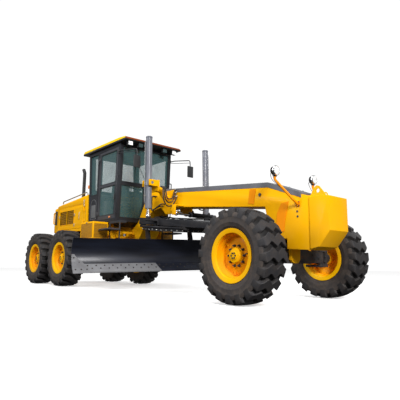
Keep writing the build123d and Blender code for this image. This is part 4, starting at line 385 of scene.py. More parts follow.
class Maker:
    """Collects the solids of one piece. They are given as on the left; side -1 draws them on the right."""

    def __init__(self, side=1):
        self.work, self.finish, self.side = bmesh.new(), 0, side

    def here(self, point):
        """A point or a way of the left, on the side that is drawn."""
        return Vector((point[0], point[1] * self.side, point[2]))

    def face(self, corners):
        self.work.faces.new(corners).material_index = self.finish

    def box(self, one, two, bevel=0.0, place=None):
        """A block between two opposite corners."""
        pairs = list(zip(self.here(one), self.here(two)))
        low, high = Vector([min(pair) for pair in pairs]), Vector([max(pair) for pair in pairs])
        before, size = set(self.work.faces), high - low
        made = bmesh.ops.create_cube(self.work, size=1)["verts"]
        fit = Matrix.Translation((low + high) / 2) @ Matrix.Diagonal((*size, 1))
        bmesh.ops.transform(self.work, matrix=fit, verts=made)
        if bevel:
            edges = {e for v in made for e in v.link_edges}
            bmesh.ops.bevel(self.work, geom=list(edges) + made, offset=min(bevel, min(size) * 0.45),
                            segments=2, affect="EDGES", profile=0.7)
        faces = [f for f in self.work.faces if f not in before]
        if place:
            bmesh.ops.transform(self.work, matrix=place, verts=list({v for f in faces for v in f.verts}))
        for face in faces:
            face.material_index = self.finish

    def skin(self, rings, closed=False):
        """Skins rings of points in order, as they stand, and closes the ends."""
        rows = [[self.work.verts.new(p) for p in ring] for ring in rings]
        count = len(rings[0])
        for a, b in list(zip(rows, rows[1:])) + ([(rows[-1], rows[0])] if closed else []):
            for i in range(count):
                j = (i + 1) % count
                self.face((a[i], a[j], b[j], b[i]))
        if not closed:
            self.face(rows[0][::-1])
            self.face(rows[-1])

    def turned(self, profile, start, axis, sides=32):
        """A profile of (along, radius) points turned about an axis; ends are closed."""
        start, axis = self.here(start), self.here(axis).normalized()
        side = axis.orthogonal().normalized()
        other = axis.cross(side)
        self.skin([circle(start + axis * along, side, other, radius, sides) for along, radius in profile])

    def rod(self, start, end, radius, sides):
        """A straight round bar."""
        run = Vector(end) - Vector(start)
        self.turned([(0, radius), (run.length, radius)], start, run, sides)

    def tube(self, points, radius, sides=10, bend=0.0, steps=6):
        """A round bar or hose through points, its corners rounded."""
        points = [self.here(p) for p in points]
        if bend:
            rounded = [points[0]]
            for before, corner, after in zip(points, points[1:], points[2:]):
                one, two = before - corner, after - corner
                cut = min(bend, one.length * 0.49, two.length * 0.49)
                first, last = corner + one.normalized() * cut, corner + two.normalized() * cut
                for t in (i / steps for i in range(steps + 1)):
                    rounded.append(first * (1 - t) ** 2 + corner * 2 * t * (1 - t) + last * t ** 2)
            points = rounded + points[-1:]
        side = (points[1] - points[0]).normalized().orthogonal().normalized()
        rings = []
        for i, point in enumerate(points):
            way = (points[min(i + 1, len(points) - 1)] - points[max(i - 1, 0)]).normalized()
            side = (side - way * side.dot(way)).normalized()
            rings.append(circle(point, side, way.cross(side), radius, sides))
        self.skin(rings)

    def plate(self, outline, near, thick, bevel):
        """An upright sheet of (x, z) corners, its inner face near to the middle plane and its rims rounded."""
        before = set(self.work.faces)
        low, high = ([self.work.verts.new(self.here((x, y, z))) for x, z in outline[::self.side]]
                     for y in (near, near + thick))
        ends = [self.work.faces.new(low[::-1]), self.work.faces.new(high)]
        for i, j in zip(range(len(low)), [*range(1, len(low)), 0]):
            self.work.faces.new((low[i], low[j], high[j], high[i]))
        rims = [edge for face in ends for edge in face.edges]
        bmesh.ops.bevel(self.work, geom=rims, offset=bevel, segments=2, affect="EDGES")
        for face in self.work.faces:
            if face not in before:
                face.material_index = self.finish

    def strip(self, corners, way, width, thick):
        """A flat frame of even width round a row of corners, standing along way."""
        way, corners = self.here(way), [self.here(c) for c in corners]
        rings = []
        for before, corner, after in zip(corners[-1:] + corners, corners, corners[1:] + corners[:1]):
            one, two = (before - corner).normalized(), (after - corner).normalized()
            edge = corner - (one + two).normalized() * (width / max(sin(one.angle(two) / 2), 0.2))
            rings.append([corner, edge, edge + way * thick, corner + way * thick])
        self.skin(rings, closed=True)

    def bolt(self, place, way, size=0.016, head=0.010):
        """Hexagon head on a washer."""
        place, way = Vector(place), Vector(way).normalized()
        self.rod(place, place + way * 0.003, size * 1.25, 14)
        self.turned([(0, size), (head * 0.8, size), (head, size * 0.8)], place + way * 0.002, way, 6)

    def mesh(self, name):
        """The solids as one mesh, doubles merged and faces outwards."""
        bmesh.ops.remove_doubles(self.work, verts=self.work.verts, dist=1e-6)
        bmesh.ops.recalc_face_normals(self.work, faces=self.work.faces)
        return given_mesh(self.work, name)


def given_mesh(work, name):
    """Turns a worked-on mesh into a named one."""
    mesh = bpy.data.meshes.new(name)
    work.to_mesh(mesh)
    work.free()
    return mesh


def new_piece(name, mesh, finishes, body, slot=None, replaced=(), smooth=35):
    """Puts a finished mesh in the scene on its body."""
    for finish in finishes:
        mesh.materials.append(finish)
    if smooth:
        mesh.shade_smooth()
        mesh.set_sharp_from_angle(angle=radians(smooth))
    piece = bpy.data.objects.new(name, mesh)
    scene.collection.objects.link(piece)
    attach(piece, body)
    if replaced:
        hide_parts(*replaced)
    return piece


def draw(name, shape, finishes, body, place=None, replaced=(), **extra):
    """Makes a piece of what shape draws, or with {} in its name one a side, the left one first."""
    for side_name, side in SIDES if "{}" in name else SIDES[:1]:
        made = Maker(side)
        shape(made)
        mesh = made.mesh(name)
        if place:
            mesh.transform(place)
        new_piece(name.format(side_name), mesh, finishes, body.format(side_name), replaced=replaced, **extra)
        replaced = ()


def repeat_tree():
    """Geometry tree that copies a piece along a step and round the Z axis."""
    tree = bpy.data.node_groups.new("repeat_piece", "GeometryNodeTree")
    for name, kind in (("Base", "Geometry"), ("Piece", "Object"), ("Count", "Int"), ("Step", "Vector"),
                       ("Turn", "Vector"), ("Finish", "Material")):
        tree.interface.new_socket(name, in_out="INPUT", socket_type="NodeSocket" + kind)
    tree.interface.new_socket("Result", in_out="OUTPUT", socket_type="NodeSocketGeometry")
    add, link = tree.nodes.new, tree.links.new
    given, result = add("NodeGroupInput"), add("NodeGroupOutput")
    line = add("GeometryNodeMeshLine")
    line.mode = "OFFSET"
    link(given.outputs["Count"], line.inputs["Count"])
    link(given.outputs["Step"], line.inputs["Offset"])
    info = add("GeometryNodeObjectInfo")
    link(given.outputs["Piece"], info.inputs["Object"])
    number, turn = add("GeometryNodeInputIndex"), add("ShaderNodeVectorMath")
    turn.operation = "SCALE"
    link(given.outputs["Turn"], turn.inputs[0])
    link(number.outputs[0], turn.inputs["Scale"])
    copies = add("GeometryNodeInstanceOnPoints")
    link(line.outputs["Mesh"], copies.inputs["Points"])
    link(info.outputs["Geometry"], copies.inputs["Instance"])
    link(turn.outputs[0], copies.inputs["Rotation"])
    real, paint_all = add("GeometryNodeRealizeInstances"), add("GeometryNodeSetMaterial")
    link(copies.outputs[0], real.inputs[0])
    link(real.outputs[0], paint_all.inputs["Geometry"])
    link(given.outputs["Finish"], paint_all.inputs["Material"])
    link(paint_all.outputs[0], result.inputs[0])
    return tree


REPEAT = repeat_tree()
SOCKETS = {item.name: item.identifier for item in REPEAT.interface.items_tree if item.in_out == "INPUT"}


def repeated(maker, name, count, finish, step=(0, 0, 0), turn=(0, 0, 0)):
    """Copies a small piece with the repeat tree and gives one plain mesh."""
    seed = bpy.data.objects.new(name + "_one", maker.mesh(name + "_one"))
    holder = bpy.data.objects.new(name + "_row", bpy.data.meshes.new(name + "_row"))
    scene.collection.objects.link(seed)
    scene.collection.objects.link(holder)
    rows = holder.modifiers.new("rows", "NODES")
    rows.node_group = REPEAT
    for key, value in (("Piece", seed), ("Count", count), ("Step", step), ("Turn", turn), ("Finish", finish)):
        rows[SOCKETS[key]] = value
    bpy.context.view_layer.update()
    mesh = bpy.data.meshes.new_from_object(holder.evaluated_get(bpy.context.evaluated_depsgraph_get()))
    holder.modifiers.clear()
    for spare in (seed, holder):
        bpy.data.objects.remove(spare)
    mesh.materials.clear()
    return mesh


def ring_of(maker, name, count, finish):
    """A small piece copied evenly round Z."""
    return repeated(maker, name, count, finish, turn=(0, 0, 2 * pi / count))


def joined(name, parts, finishes, body, **extra):
    """One piece from several meshes, each with its finish's number."""
    work = bmesh.new()
    for mesh, number, place in parts:
        first = len(work.faces)
        kept = mesh.copy()
        if place:
            kept.transform(place)
        work.from_mesh(kept)
        work.faces.ensure_lookup_table()
        if number is not None:
            for face in work.faces[first:]:
                face.material_index = number
        bpy.data.meshes.remove(kept)
    return new_piece(name, given_mesh(work, name), finishes, body, **extra)


def marked(piece, finish, rule):
    """Gives another finish to the faces whose centre and normal pass the rule."""
    mesh = piece.data
    mesh.materials.append(finish)
    for face in mesh.polygons:
        if rule(face.center, face.normal):
            face.material_index = len(mesh.materials) - 1


def softened(node, finish, width=0.004, segments=2, cuts=()):
    """Stands in for a CAD node with its edges rounded as a real part's are."""
    work = bmesh.new()
    work.from_mesh(nodes[node].data)
    bmesh.ops.remove_doubles(work, verts=work.verts, dist=2e-5)
    bmesh.ops.dissolve_limit(work, angle_limit=radians(1.0), verts=work.verts, edges=work.edges)
    for spot, way in cuts:
        bmesh.ops.bisect_plane(work, geom=work.verts[:] + work.edges[:] + work.faces[:], plane_co=spot, plane_no=way)
    name = node + "_dressed"
    piece = new_piece(name, given_mesh(work, name), [finish], nodes[node]["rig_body"], replaced=(node,), smooth=0)
    rounding = piece.modifiers.new("edges", "BEVEL")
    rounding.width, rounding.segments, rounding.limit_method = width, segments, "ANGLE"
    rounding.angle_limit, rounding.harden_normals = radians(30), False
    rounding.use_clamp_overlap = True
    done = bpy.data.meshes.new_from_object(piece.evaluated_get(bpy.context.evaluated_depsgraph_get()))
    piece.modifiers.clear()
    piece.data = done
    done.shade_smooth()
    done.set_sharp_from_angle(angle=radians(34))
    return piece


# ---------------------------------------------------------------- wheels
FRONT_AXLE_X, AXLE_Z, WHEEL_OUT = 3.54, 0.655, 1.0775
OUTBOARD = {1: Matrix.Rotation(-pi / 2, 4, "X"), -1: Matrix.Rotation(pi / 2, 4, "X")}
WHEELS = {f"{row}_{side_name}": Matrix.Translation((x, side * WHEEL_OUT, AXLE_Z)) @ OUTBOARD[side]
          for row, x in (("front", FRONT_AXLE_X), ("middle", -2.09), ("rear", -3.63))
          for side_name, side in SIDES}
BAR_COUNT = 20


def tread_bar(sweep, half, shoulder):
    """One tread bar from shoulder to shoulder, ahead of X with the wheel's axis along Z; sweep is its curve."""
    across = [0.2185, 0.2165, 0.211, 0.198, 0.165, 0.135, 0.10, 0.068, 0.034]
    radii = [(0.548, 0.515), (0.585, 0.54), (0.618, 0.565), (0.637, 0.58), (0.6455, 0.585), (0.6485, 0.588),
             (0.651, 0.590), (0.6525, 0.590), (0.6535, 0.590)]
    stations = [(-a, *r) for a, r in zip(across, radii)] + [(0.0, 0.6535, 0.59)]
    stations += [(a, *r) for a, r in reversed(list(zip(across, radii)))]
    rings = []
    for out, top, foot in stations:
        width = half * (shoulder if abs(out) > 0.205 else 1.0)
        section = ((-1.12, foot), (-1.0, top - 0.007), (-0.90, top), (0.90, top), (1.0, top - 0.007), (1.12, foot))
        corners = [((sweep(out) + edge * width) / 0.64, radius) for edge, radius in section]
        rings.append([(radius * cos(angle), radius * sin(angle), out) for angle, radius in corners])
    made = Maker()
    made.skin(rings)
    return made


def wave(out):
    """Zig-zag of a front tyre's bar: a dip at the middle and at each shoulder."""
    step = abs(out) / 0.092
    return 0.070 * (step if step < 1 else 2 - step if step < 2 else 0) - 0.03


def slant(out):
    """Diagonal curve of a rear tyre's bar."""
    return 0.125 * sin(out / 0.2185 * pi / 2) + 0.03 * cos(out / 0.2185 * pi)


def spun(outline):
    """A maker with an (out, radius) outline turned about Z, closed on itself."""
    made = Maker()
    made.skin([[(radius * cos(a), radius * sin(a), out) for out, radius in outline] for a in turns(96)], closed=True)
    return made


def carcass_mesh():
    """Carcass with its sidewall ribs; the tread's base between the bars is painted darker than its walls as painted
    shade in the grooves.
    """
    half = [                        # (across, radius) from the bead out to the crown
        (0.120, 0.322), (0.174, 0.322), (0.1745, 0.366), (0.188, 0.378), (0.196, 0.391), (0.2005, 0.393),
        (0.2020, 0.399), (0.2065, 0.410), (0.2125, 0.436), (0.2150, 0.440), (0.2160, 0.446), (0.2155, 0.452),
        (0.2175, 0.480), (0.2165, 0.515), (0.2180, 0.520), (0.2175, 0.526), (0.2140, 0.552), (0.2040, 0.578),
        (0.1880, 0.586), (0.1300, 0.594), (0.0500, 0.597),
    ]
    mesh = spun(half + [(-across, radius) for across, radius in reversed(half)]).mesh("tyre_carcass")
    # faces of the tread's base take the groove finish, painted shade between the bars
    for face in mesh.polygons:
        if Vector(face.center[:2]).length > 0.58:
            face.material_index = 2
    return mesh


def small_turned(profile, reach):
    """A maker with a hexagon part beside the wheel's axis."""
    made = Maker()
    made.turned(profile, (reach, 0, 0), UP, 6)
    return made


def rim_body():
    """Rim with its hub and the valve guards; its dish is painted a deeper orange as painted shade inside the rim."""
    made = spun([                   # (outboard, radius): tyre side, then open side and disc
        (0.190, 0.365), (0.175, 0.365), (0.175, 0.318), (0.110, 0.318), (0.090, 0.290), (-0.090, 0.290),
        (-0.110, 0.318), (-0.175, 0.318), (-0.175, 0.365), (-0.190, 0.365), (-0.190, 0.347), (-0.180, 0.302),
        (-0.104, 0.302), (-0.084, 0.274), (0.016, 0.274), (0.030, 0.240), (0.040, 0.168), (0.040, 0.088),
        (0.056, 0.088), (0.056, 0.168), (0.050, 0.236), (0.040, 0.262), (0.044, 0.272), (0.084, 0.274),
        (0.104, 0.302), (0.150, 0.302), (0.154, 0.308), (0.162, 0.309), (0.166, 0.303), (0.180, 0.304),
        (0.187, 0.335), (0.1885, 0.352),
    ])
    made.turned([(-0.06, 0.108), (0.056, 0.108), (0.060, 0.118), (0.070, 0.118), (0.074, 0.106), (0.108, 0.100),
                 (0.118, 0.092), (0.122, 0.060), (0.132, 0.056)], (0, 0, 0), UP, 48)
    for turn in (0.35, 2.45, 4.55):
        made.box((0.19, -0.012, 0.046), (0.262, 0.012, 0.066), 0.003, Matrix.Rotation(turn, 4, "Z"))
    mesh = made.mesh("rim_body")
    # the dish's faces take the deeper orange, painted shade inside the rim
    for face in mesh.polygons:
        across, reach = face.center.z, Vector(face.center[:2]).length
        if (0.02 < across < 0.165 and 0.118 < reach < 0.304) or (across < -0.02 and reach < 0.30):
            face.material_index = 3
    return mesh


def valve_stem():
    """Tyre valve on its bent stem, between the rim and the disc."""
    made = Maker()
    made.tube([(0.286, 0.02, 0.07), (0.270, 0.02, 0.10), (0.262, 0.02, 0.15)], 0.006, 8)
    made.turned([(0, 0.009), (0.03, 0.009), (0.034, 0.006)], (0.262, 0.02, 0.145), (-0.12, 0, 1), 8)
    return made.mesh("valve_stem")


CARCASS = carcass_mesh()
TREADS = {"front": ring_of(tread_bar(wave, 0.064, 0.72), "front_bars", BAR_COUNT, TREAD),
          "rear": ring_of(tread_bar(slant, 0.050, 0.80), "rear_bars", BAR_COUNT, TREAD)}
for key, place in WHEELS.items():
    bars = TREADS["front" if key.startswith("front") else "rear"]
    joined(f"tyre_{key}_rubber", [(CARCASS, None, place), (bars, 1, place)], [SIDEWALL, TREAD, GROOVE_SHADE],
           f"wheel_{key}", slot="tyre_rubber", replaced=(f"tyre_{key}",), smooth=28)

RIM = rim_body()
NUTS = ring_of(small_turned([(0.055, 0.021), (0.060, 0.021), (0.060, 0.016), (0.082, 0.016), (0.086, 0.013),
                             (0.086, 0.009), (0.098, 0.009)], 0.140), "wheel_nuts", 10, ZINC)
CAPS = ring_of(small_turned([(0.131, 0.012), (0.140, 0.012), (0.142, 0.010)], 0.036), "cap_bolts", 6, SEAL)
VALVE = valve_stem()
for key, place in WHEELS.items():
    joined(f"rim_{key}_painted", [(RIM, None, place), (NUTS, 1, place), (CAPS, 2, place), (VALVE, 2, place)],
           [RIM_YELLOW, IRON, SEAL, RIM_DISH_SHADE], f"wheel_{key}", slot="yellow_paint", replaced=(f"rim_{key}",),
           smooth=30)

# ---------------------------------------------------------------- painted CAD pieces
SOFTENED = (                        # pieces with rounded edges: names, finish, width of the rounding
    ("rear_frame tandem_axle radiator_housing main_frame push_block blade_saddle engine_hood", YELLOW, 0.004),
    ("engine_hatch_left engine_hatch_right", YELLOW, 0.004),
    ("cab_frame", DARK, 0.006),
    ("cab_door_left cab_door_right", DOOR_GREY, 0.006),
    ("drawbar circle blade_carrier lean_support_left lean_support_right steering_knuckle_left "
     "steering_knuckle_right", GEAR_BLACK, 0.003),
    ("front_axle_beam", AXLE_GREY, 0.004),
    ("frame_cover", WALKWAY, 0.006),
    ("moldboard", BLADE, 0.003),
    ("steering_console", PLASTIC, 0.008),
    ("engine_block", IRON, 0.02),
)
for names, finish, width in SOFTENED:
    for node in names.split():
        piece = softened(node, finish, width)
        # hatch faces set back inside the vents get the painted shade of the recess
        if node.startswith("engine_hatch"):
            marked(piece, VENT_RECESS_SHADE, lambda spot, way: abs(spot.y) < 0.6885 and 1.53 < spot.z < 1.89)
PAINTED = {                         # pieces that keep their own form
    "frame_hoses": HOSE, "cab_glass door_glass_left door_glass_right": GLASS,
    "lift_barrel_left lift_barrel_right blade_shift_barrel": CYLINDER_GREY,
    "lift_rod_left lift_rod_right swing_rod hitch_rod_left hitch_rod_right blade_shift_rod tie_rod": CHROME,
    "lean_bar": GEAR_BLACK, "exhaust": IRON, "drawbar_ball": GREASED,
}
for names, finish in PAINTED.items():
    for node in names.split():
        nodes[node].data.materials.clear()
        nodes[node].data.materials.append(finish)

# yellow slab on the roof, its front lip painted red-brown as painted shade on the yellow, dark brow below
BROW_Z = 3.243
roof = softened("cab_roof", ROOF_YELLOW, 0.008, cuts=[((0, 0, BROW_Z), UP)])
marked(roof, DARK, lambda spot, way: spot.z < BROW_Z or way.z < -0.3)
# the roof's front faces take the red-brown painted shade
marked(roof, ROOF_FRONT_SHADE, lambda spot, way: spot.z > 3.2 and spot.x > -0.19 and way.z > -0.3)
marked(softened("cab_steps", AXLE_GREY, 0.003), YELLOW, lambda spot, way: spot.x < -0.76)


# ---------------------------------------------------------------- blade, circle and drawbar
def machine_plane(origin, ahead, up):
    """Places (ahead, left, up) offsets from a point of the machine."""
    ahead, up = Vector(ahead).normalized(), Vector(up).normalized()
    return Matrix.Translation(origin) @ Matrix((ahead, up.cross(ahead), up)).transposed().to_4x4()


PITCH, ROLL = atan2(0.24, 2.34), radians(2.4)
CIRCLE_SET = machine_plane((0.84, 0, 1.29), (cos(PITCH), 0, -sin(PITCH)), (sin(PITCH), -sin(ROLL), cos(PITCH)))
BLADE_SET = CIRCLE_SET @ Matrix.Rotation(radians(-10), 4, "Z")
BLADE_HALF = 2.135
EDGE_FOOT, EDGE_HEAD = -0.866, -0.714
FACE_RADIUS = 0.413


def face_centre():
    """Middle of the moldboard's front arc in (ahead, up)."""
    low, high = Vector((0.163, -0.814)), Vector((0.120, -0.256))
    run = high - low
    out = sqrt(FACE_RADIUS ** 2 - (run.length / 2) ** 2)
    return (low + high) / 2 + Vector((run.y, -run.x)).normalized() * out


FACE_CENTRE = face_centre()


def face_ahead(up):
    """How far ahead the moldboard's face is at a height."""
    return FACE_CENTRE.x - sqrt(max(FACE_RADIUS ** 2 - (up - FACE_CENTRE.y) ** 2, 0))


EDGE_LEAN = (0.1633 - face_ahead(EDGE_HEAD)) / (-0.814 - EDGE_HEAD)
EDGE_WAY = Vector((1, 0, -EDGE_LEAN)).normalized()


def edge_ahead(up):
    """How far ahead the cutting edge's front is at a height."""
    return face_ahead(EDGE_HEAD) + EDGE_LEAN * (up - EDGE_HEAD) + 0.0193


def blade_bolts():
    """Rows of plough bolts along the cutting edge."""
    made = []
    for up, count, shift in ((EDGE_HEAD - 0.03, 27, 0.0), (EDGE_HEAD - 0.075, 26, 0.078)):
        one = Maker()
        one.bolt((edge_ahead(up), -2.02 + shift, up), EDGE_WAY, 0.011, 0.007)
        made.append((repeated(one, f"edge_bolts_{count}", count, ZINC, step=(0, 0.1555, 0)), 0, BLADE_SET))
    joined("cutting_edge_bolts", made, [GEAR_BLACK], "blade")


def end_bit(made):
    """Wear plate bolted over the blade's end, following its face."""
    rings = []
    for step in range(13):
        up = EDGE_FOOT + 0.004 + step * 0.026
        back = face_ahead(up) + 0.002 if up > EDGE_HEAD else edge_ahead(up) - 0.004
        front = max(back, edge_ahead(up) if up < EDGE_HEAD + 0.01 else face_ahead(up)) + 0.013
        end, inner = BLADE_HALF - 0.001, BLADE_HALF - 0.30 + 0.25 * min(max(step - 3, 0) / 8.5, 1)
        rings.append([made.here((ahead, out, up)) for ahead, out in
                      ((back, end), (front, end), (front, inner), (back, inner))])
    made.skin(rings)
    made.finish = 1
    for across, up in ((0.05, -0.80), (0.15, -0.80), (0.25, -0.80), (0.045, -0.70), (0.13, -0.69), (0.04, -0.61)):
        front = (edge_ahead(up) if up < EDGE_HEAD else face_ahead(up)) + 0.013
        made.bolt((front, BLADE_HALF - across, up), EDGE_WAY, 0.011, 0.007)


def blade_back(made):
    """Bolts behind the blade's ends, clear of the carrier."""
    for along in (-2.05, 1.95, 2.09):
        for up in (-0.62, -0.5, -0.38):
            made.bolt((face_ahead(up) - 0.022, along, up), (-1, 0, 0), 0.012, 0.008)


def circle_bolts():
    """Bolts round the circle's outer face, under its rim."""
    one = Maker()
    one.bolt((0.7325, 0, -0.066), (1, 0, 0), 0.010, 0.008)
    joined("circle_ring_bolts", [(ring_of(one, "circle_bolts", 44, ZINC), 0, CIRCLE_SET)], [ZINC], "circle")


def drawbar_gear(made):
    """Drive motor, guide shoe bolts, valves and hoses on the drawbar, from the circle's middle."""
    drive_x = -0.523
    made.turned([(0.160, 0.085), (0.172, 0.085), (0.176, 0.080), (0.200, 0.078), (0.206, 0.052)], (drive_x, 0, 0),
                UP, 28)
    for a in turns(8, 0.2):
        made.bolt((drive_x + 0.070 * cos(a), 0.070 * sin(a), 0.198), UP, 0.009, 0.008)
    made.box((-0.585, -0.045, 0.15), (-0.46, 0.045, 0.204), 0.006)
    for degree in (-138, -28, 28, 138):                 # shoe plates with their adjusting bolts
        turn = Matrix.Rotation(radians(degree), 4, "Z")
        made.box((0.70, -0.058, 0.012), (0.796, 0.058, 0.030), 0.003, turn)
        for along in (-0.036, 0.036):
            for out in (0.722, 0.772):
                made.bolt(turn @ Vector((out, along, 0.030)), UP, 0.009, 0.009)
    for made.side in (-1, 1):                           # gussets at the lift feet
        for along in (-0.05, 0.05):
            made.box((along - 0.006, 0.54, 0.02), (along + 0.006, 0.58, 0.094), 0.002)
    made.box((0.90, -0.12, 0.150), (0.99, 0.12, 0.205), 0.006)      # manifold over the front cross bar
    unions = [-0.09 + number * 0.06 for number in range(4)]
    for y in unions:
        made.rod((0.90, y, 0.178), (0.878, y, 0.178), 0.014, 8)
        made.rod((0.99, y, 0.178), (1.012, y, 0.178), 0.014, 8)
    made.finish = 1
    for number, y in enumerate(unions):
        far = (-0.40 + number * 0.26) * 0.9
        made.tube([(0.880, y, 0.178), (0.80, y, 0.186), (0.62, y * 1.6, 0.170), (0.30, far, 0.168),
                   (0.02, far, 0.166), (-0.10, far * 0.9, 0.150), (-0.16, far * 0.9, 0.120)], 0.011, 10, 0.07)
        made.tube([(1.010, y, 0.178), (1.10, y, 0.190), (1.45, y * 0.5, 0.168), (1.80, y * 0.35, 0.166),
                   (1.98, y * 0.3, 0.166)], 0.011, 10, 0.07)
    for made.side in (-1, 1):
        made.tube([(-0.52, 0.046, 0.180), (-0.52, 0.12, 0.188), (-0.45, 0.30, 0.165), (-0.2, 0.47, 0.165),
                   (0.0, 0.485, 0.165)], 0.011, 10, 0.06)
    made.finish = 2
    for out in (1.5, 1.85):
        made.box((out - 0.02, -0.055, 0.150), (out + 0.02, 0.055, 0.182), 0.004)


def swing_fittings(made):
    """End caps, gland and ports of the cylinder that swings the drawbar."""
    made.turned([(0, 0.054), (0.03, 0.054), (0.035, 0.050)], (1.2, -0.02, 1.5), (0, 1, 0), 24)
    made.turned([(0, 0.050), (0.005, 0.055), (0.032, 0.055), (0.036, 0.040)], (1.2, 0.566, 1.5), (0, 1, 0), 24)
    for y in (0.06, 0.5):
        made.box((1.182, y - 0.02, 1.54), (1.218, y + 0.02, 1.575), 0.004)
        made.rod((1.2, y, 1.57), (1.2, y, 1.592), 0.012, 8)


def lift_fittings(made):
    """Gland, ports and pipe of a lift cylinder, which leans a little."""
    lean = sin(radians(1.5))

    def spot(z, x=0.0, y=0.0):
        return Vector((0.81 - (z - 2.09) * lean + x, 0.75 + y, z))
    way = (-lean, 0, 1)
    port = 0.041 + 0.005 * made.side                    # the ports stand 5 mm to the machine's left
    clip = 0.060 - 0.004 * made.side                    # the clips start 4 mm to its right; the right ones are square
    made.turned([(0, 0.055), (0.006, 0.067), (0.06, 0.067), (0.066, 0.0625)], spot(1.59), way, 28)
    made.turned([(0, 0.0625), (0.006, 0.066), (0.028, 0.066), (0.034, 0.058)], spot(3.006), way, 28)
    for z in (1.68, 2.93):
        made.box(spot(z - 0.02, -0.018, port), spot(z + 0.02, 0.018, port + 0.034), 0.004)
    made.finish = 1
    made.tube([spot(2.93, 0, 0.082), spot(2.90, 0, 0.092), spot(2.2, 0, 0.092), spot(1.72, 0, 0.092),
               spot(1.68, 0, 0.080)], 0.008, 10, 0.02)
    for z in (1.84, 2.3, 2.62):
        made.box(spot(z - 0.008, -0.012, clip), spot(z + 0.008, 0.012, 0.103), 0.002 if made.side > 0 else 0)


blade_bolts()
draw("blade_end_bit_{}", end_bit, [EDGE, GEAR_BLACK], "blade", BLADE_SET, smooth=30)
draw("blade_back_bolts", blade_back, [GEAR_BLACK], "blade", BLADE_SET)
circle_bolts()
draw("drawbar_drive_and_hoses", drawbar_gear, [GEAR_BLACK, HOSE, ZINC], "drawbar", CIRCLE_SET, smooth=30)
draw("swing_cylinder_caps", swing_fittings, [CYLINDER_GREY], "drawbar")
draw("lift_cylinder_fittings_{}", lift_fittings, [CYLINDER_GREY, CHROME], "lift_barrel_{}")

# ---------------------------------------------------------------- nose, boom and front axle
BOOM_SIDE, FITTED_SIDE = 0.2252, 0.2255              # plates lie on the first, fittings stand on the second
COVER_LINE = ((0.24, 2.07), (3.34, 1.79), (4.03, 1.53))        # the boom's top edge in (x, z)


def cover_top(x):
    """Height of the boom's top edge."""
    (x_low, z_low), (x_high, z_high) = COVER_LINE[:2] if x < COVER_LINE[1][0] else COVER_LINE[1:]
    return z_low + (z_high - z_low) / (x_high - x_low) * (x - x_low)


def head_lamp(made):
    """Round work lamp on its bent arm beside the nose."""
    x, y, z = lamp = (3.69, 0.49, 1.905)
    foot_x, foot_y, foot_z = foot = (3.90, 0.241, 1.42)     # where the arm stands on the boom
    ahead = (1, 0, 0)
    made.turned([(-0.045, 0.030), (-0.044, 0.046), (-0.030, 0.062), (0.004, 0.072), (0.012, 0.075), (0.024, 0.075),
                 (0.026, 0.070)], lamp, ahead, 40)
    made.box((x - 0.016, y - 0.016, z - 0.105), (x + 0.016, y + 0.016, z - 0.070), 0.003)
    for out in (-0.033, 0.033):
        made.box((x - 0.012, y + out - 0.004, z - 0.085), (x + 0.012, y + out + 0.004, z - 0.050), 0.002)
    made.finish = 1
    made.turned([(0.020, 0.0755), (0.036, 0.0755), (0.043, 0.072), (0.0445, 0.066), (0.040, 0.064), (0.020, 0.064)],
                lamp, ahead, 40)
    made.turned([(0.006, 0.020), (0.0065, 0.050), (0.030, 0.0645)], lamp, ahead, 40)
    made.finish = 2
    made.turned([(0.0395, 0.0645), (0.0430, 0.045), (0.0448, 0.018), (0.0450, 0.002)], lamp, ahead, 40)
    # the arm and its foot take the orange painted shade
    made.finish = 3
    made.tube([foot, (3.892, 0.33, 1.47), (x, y, z - 0.13), (x, y, z - 0.09)], 0.019, 12, 0.03)
    made.box((foot_x - 0.038, FITTED_SIDE, foot_z - 0.038), (foot_x + 0.038, foot_y, foot_z + 0.038), 0.003)
    made.finish = 4
    for along, up in ((-0.024, -0.024), (0.024, -0.024), (-0.024, 0.024), (0.024, 0.024)):
        made.bolt((foot_x + along, foot_y, foot_z + up), (0, 1, 0), 0.008, 0.006)
    made.tube([(x - 0.045, y, z - 0.01), (x - 0.085, y, z - 0.04), (x - 0.05, y, z - 0.13), (3.86, 0.36, 1.52),
               (3.876, 0.26, 1.44)], 0.004, 8, 0.03)


def side_plates(made):
    """Reinforcing plates, plug holes and a pin's head on the frame's side; the plates take an orange that is painted
    shade on the yellow.
    """
    made.plate([(3.60, 1.46), (3.735, 1.475), (3.70, 1.33), (3.66, 1.19), (3.64, 1.03), (3.49, 1.03), (3.505, 1.20),
                (3.52, 1.32)], BOOM_SIDE, 0.008, 0.003)
    made.plate([(2.93, 1.52), (2.97, 1.76), (3.10, 1.74), (3.05, 1.50)], BOOM_SIDE, 0.006, 0.003)
    made.finish = 1
    for x, z in ((3.88, 1.31), (3.885, 1.235)):
        made.turned([(0, 0.017), (0.0025, 0.017), (0.003, 0.012)], (x, FITTED_SIDE, z), (0, 1, 0), 20)
    made.finish = 2
    made.turned([(0, 0.030), (0.010, 0.030), (0.014, 0.026)], (3.18, FITTED_SIDE, 1.64), (0, 1, 0), 6)


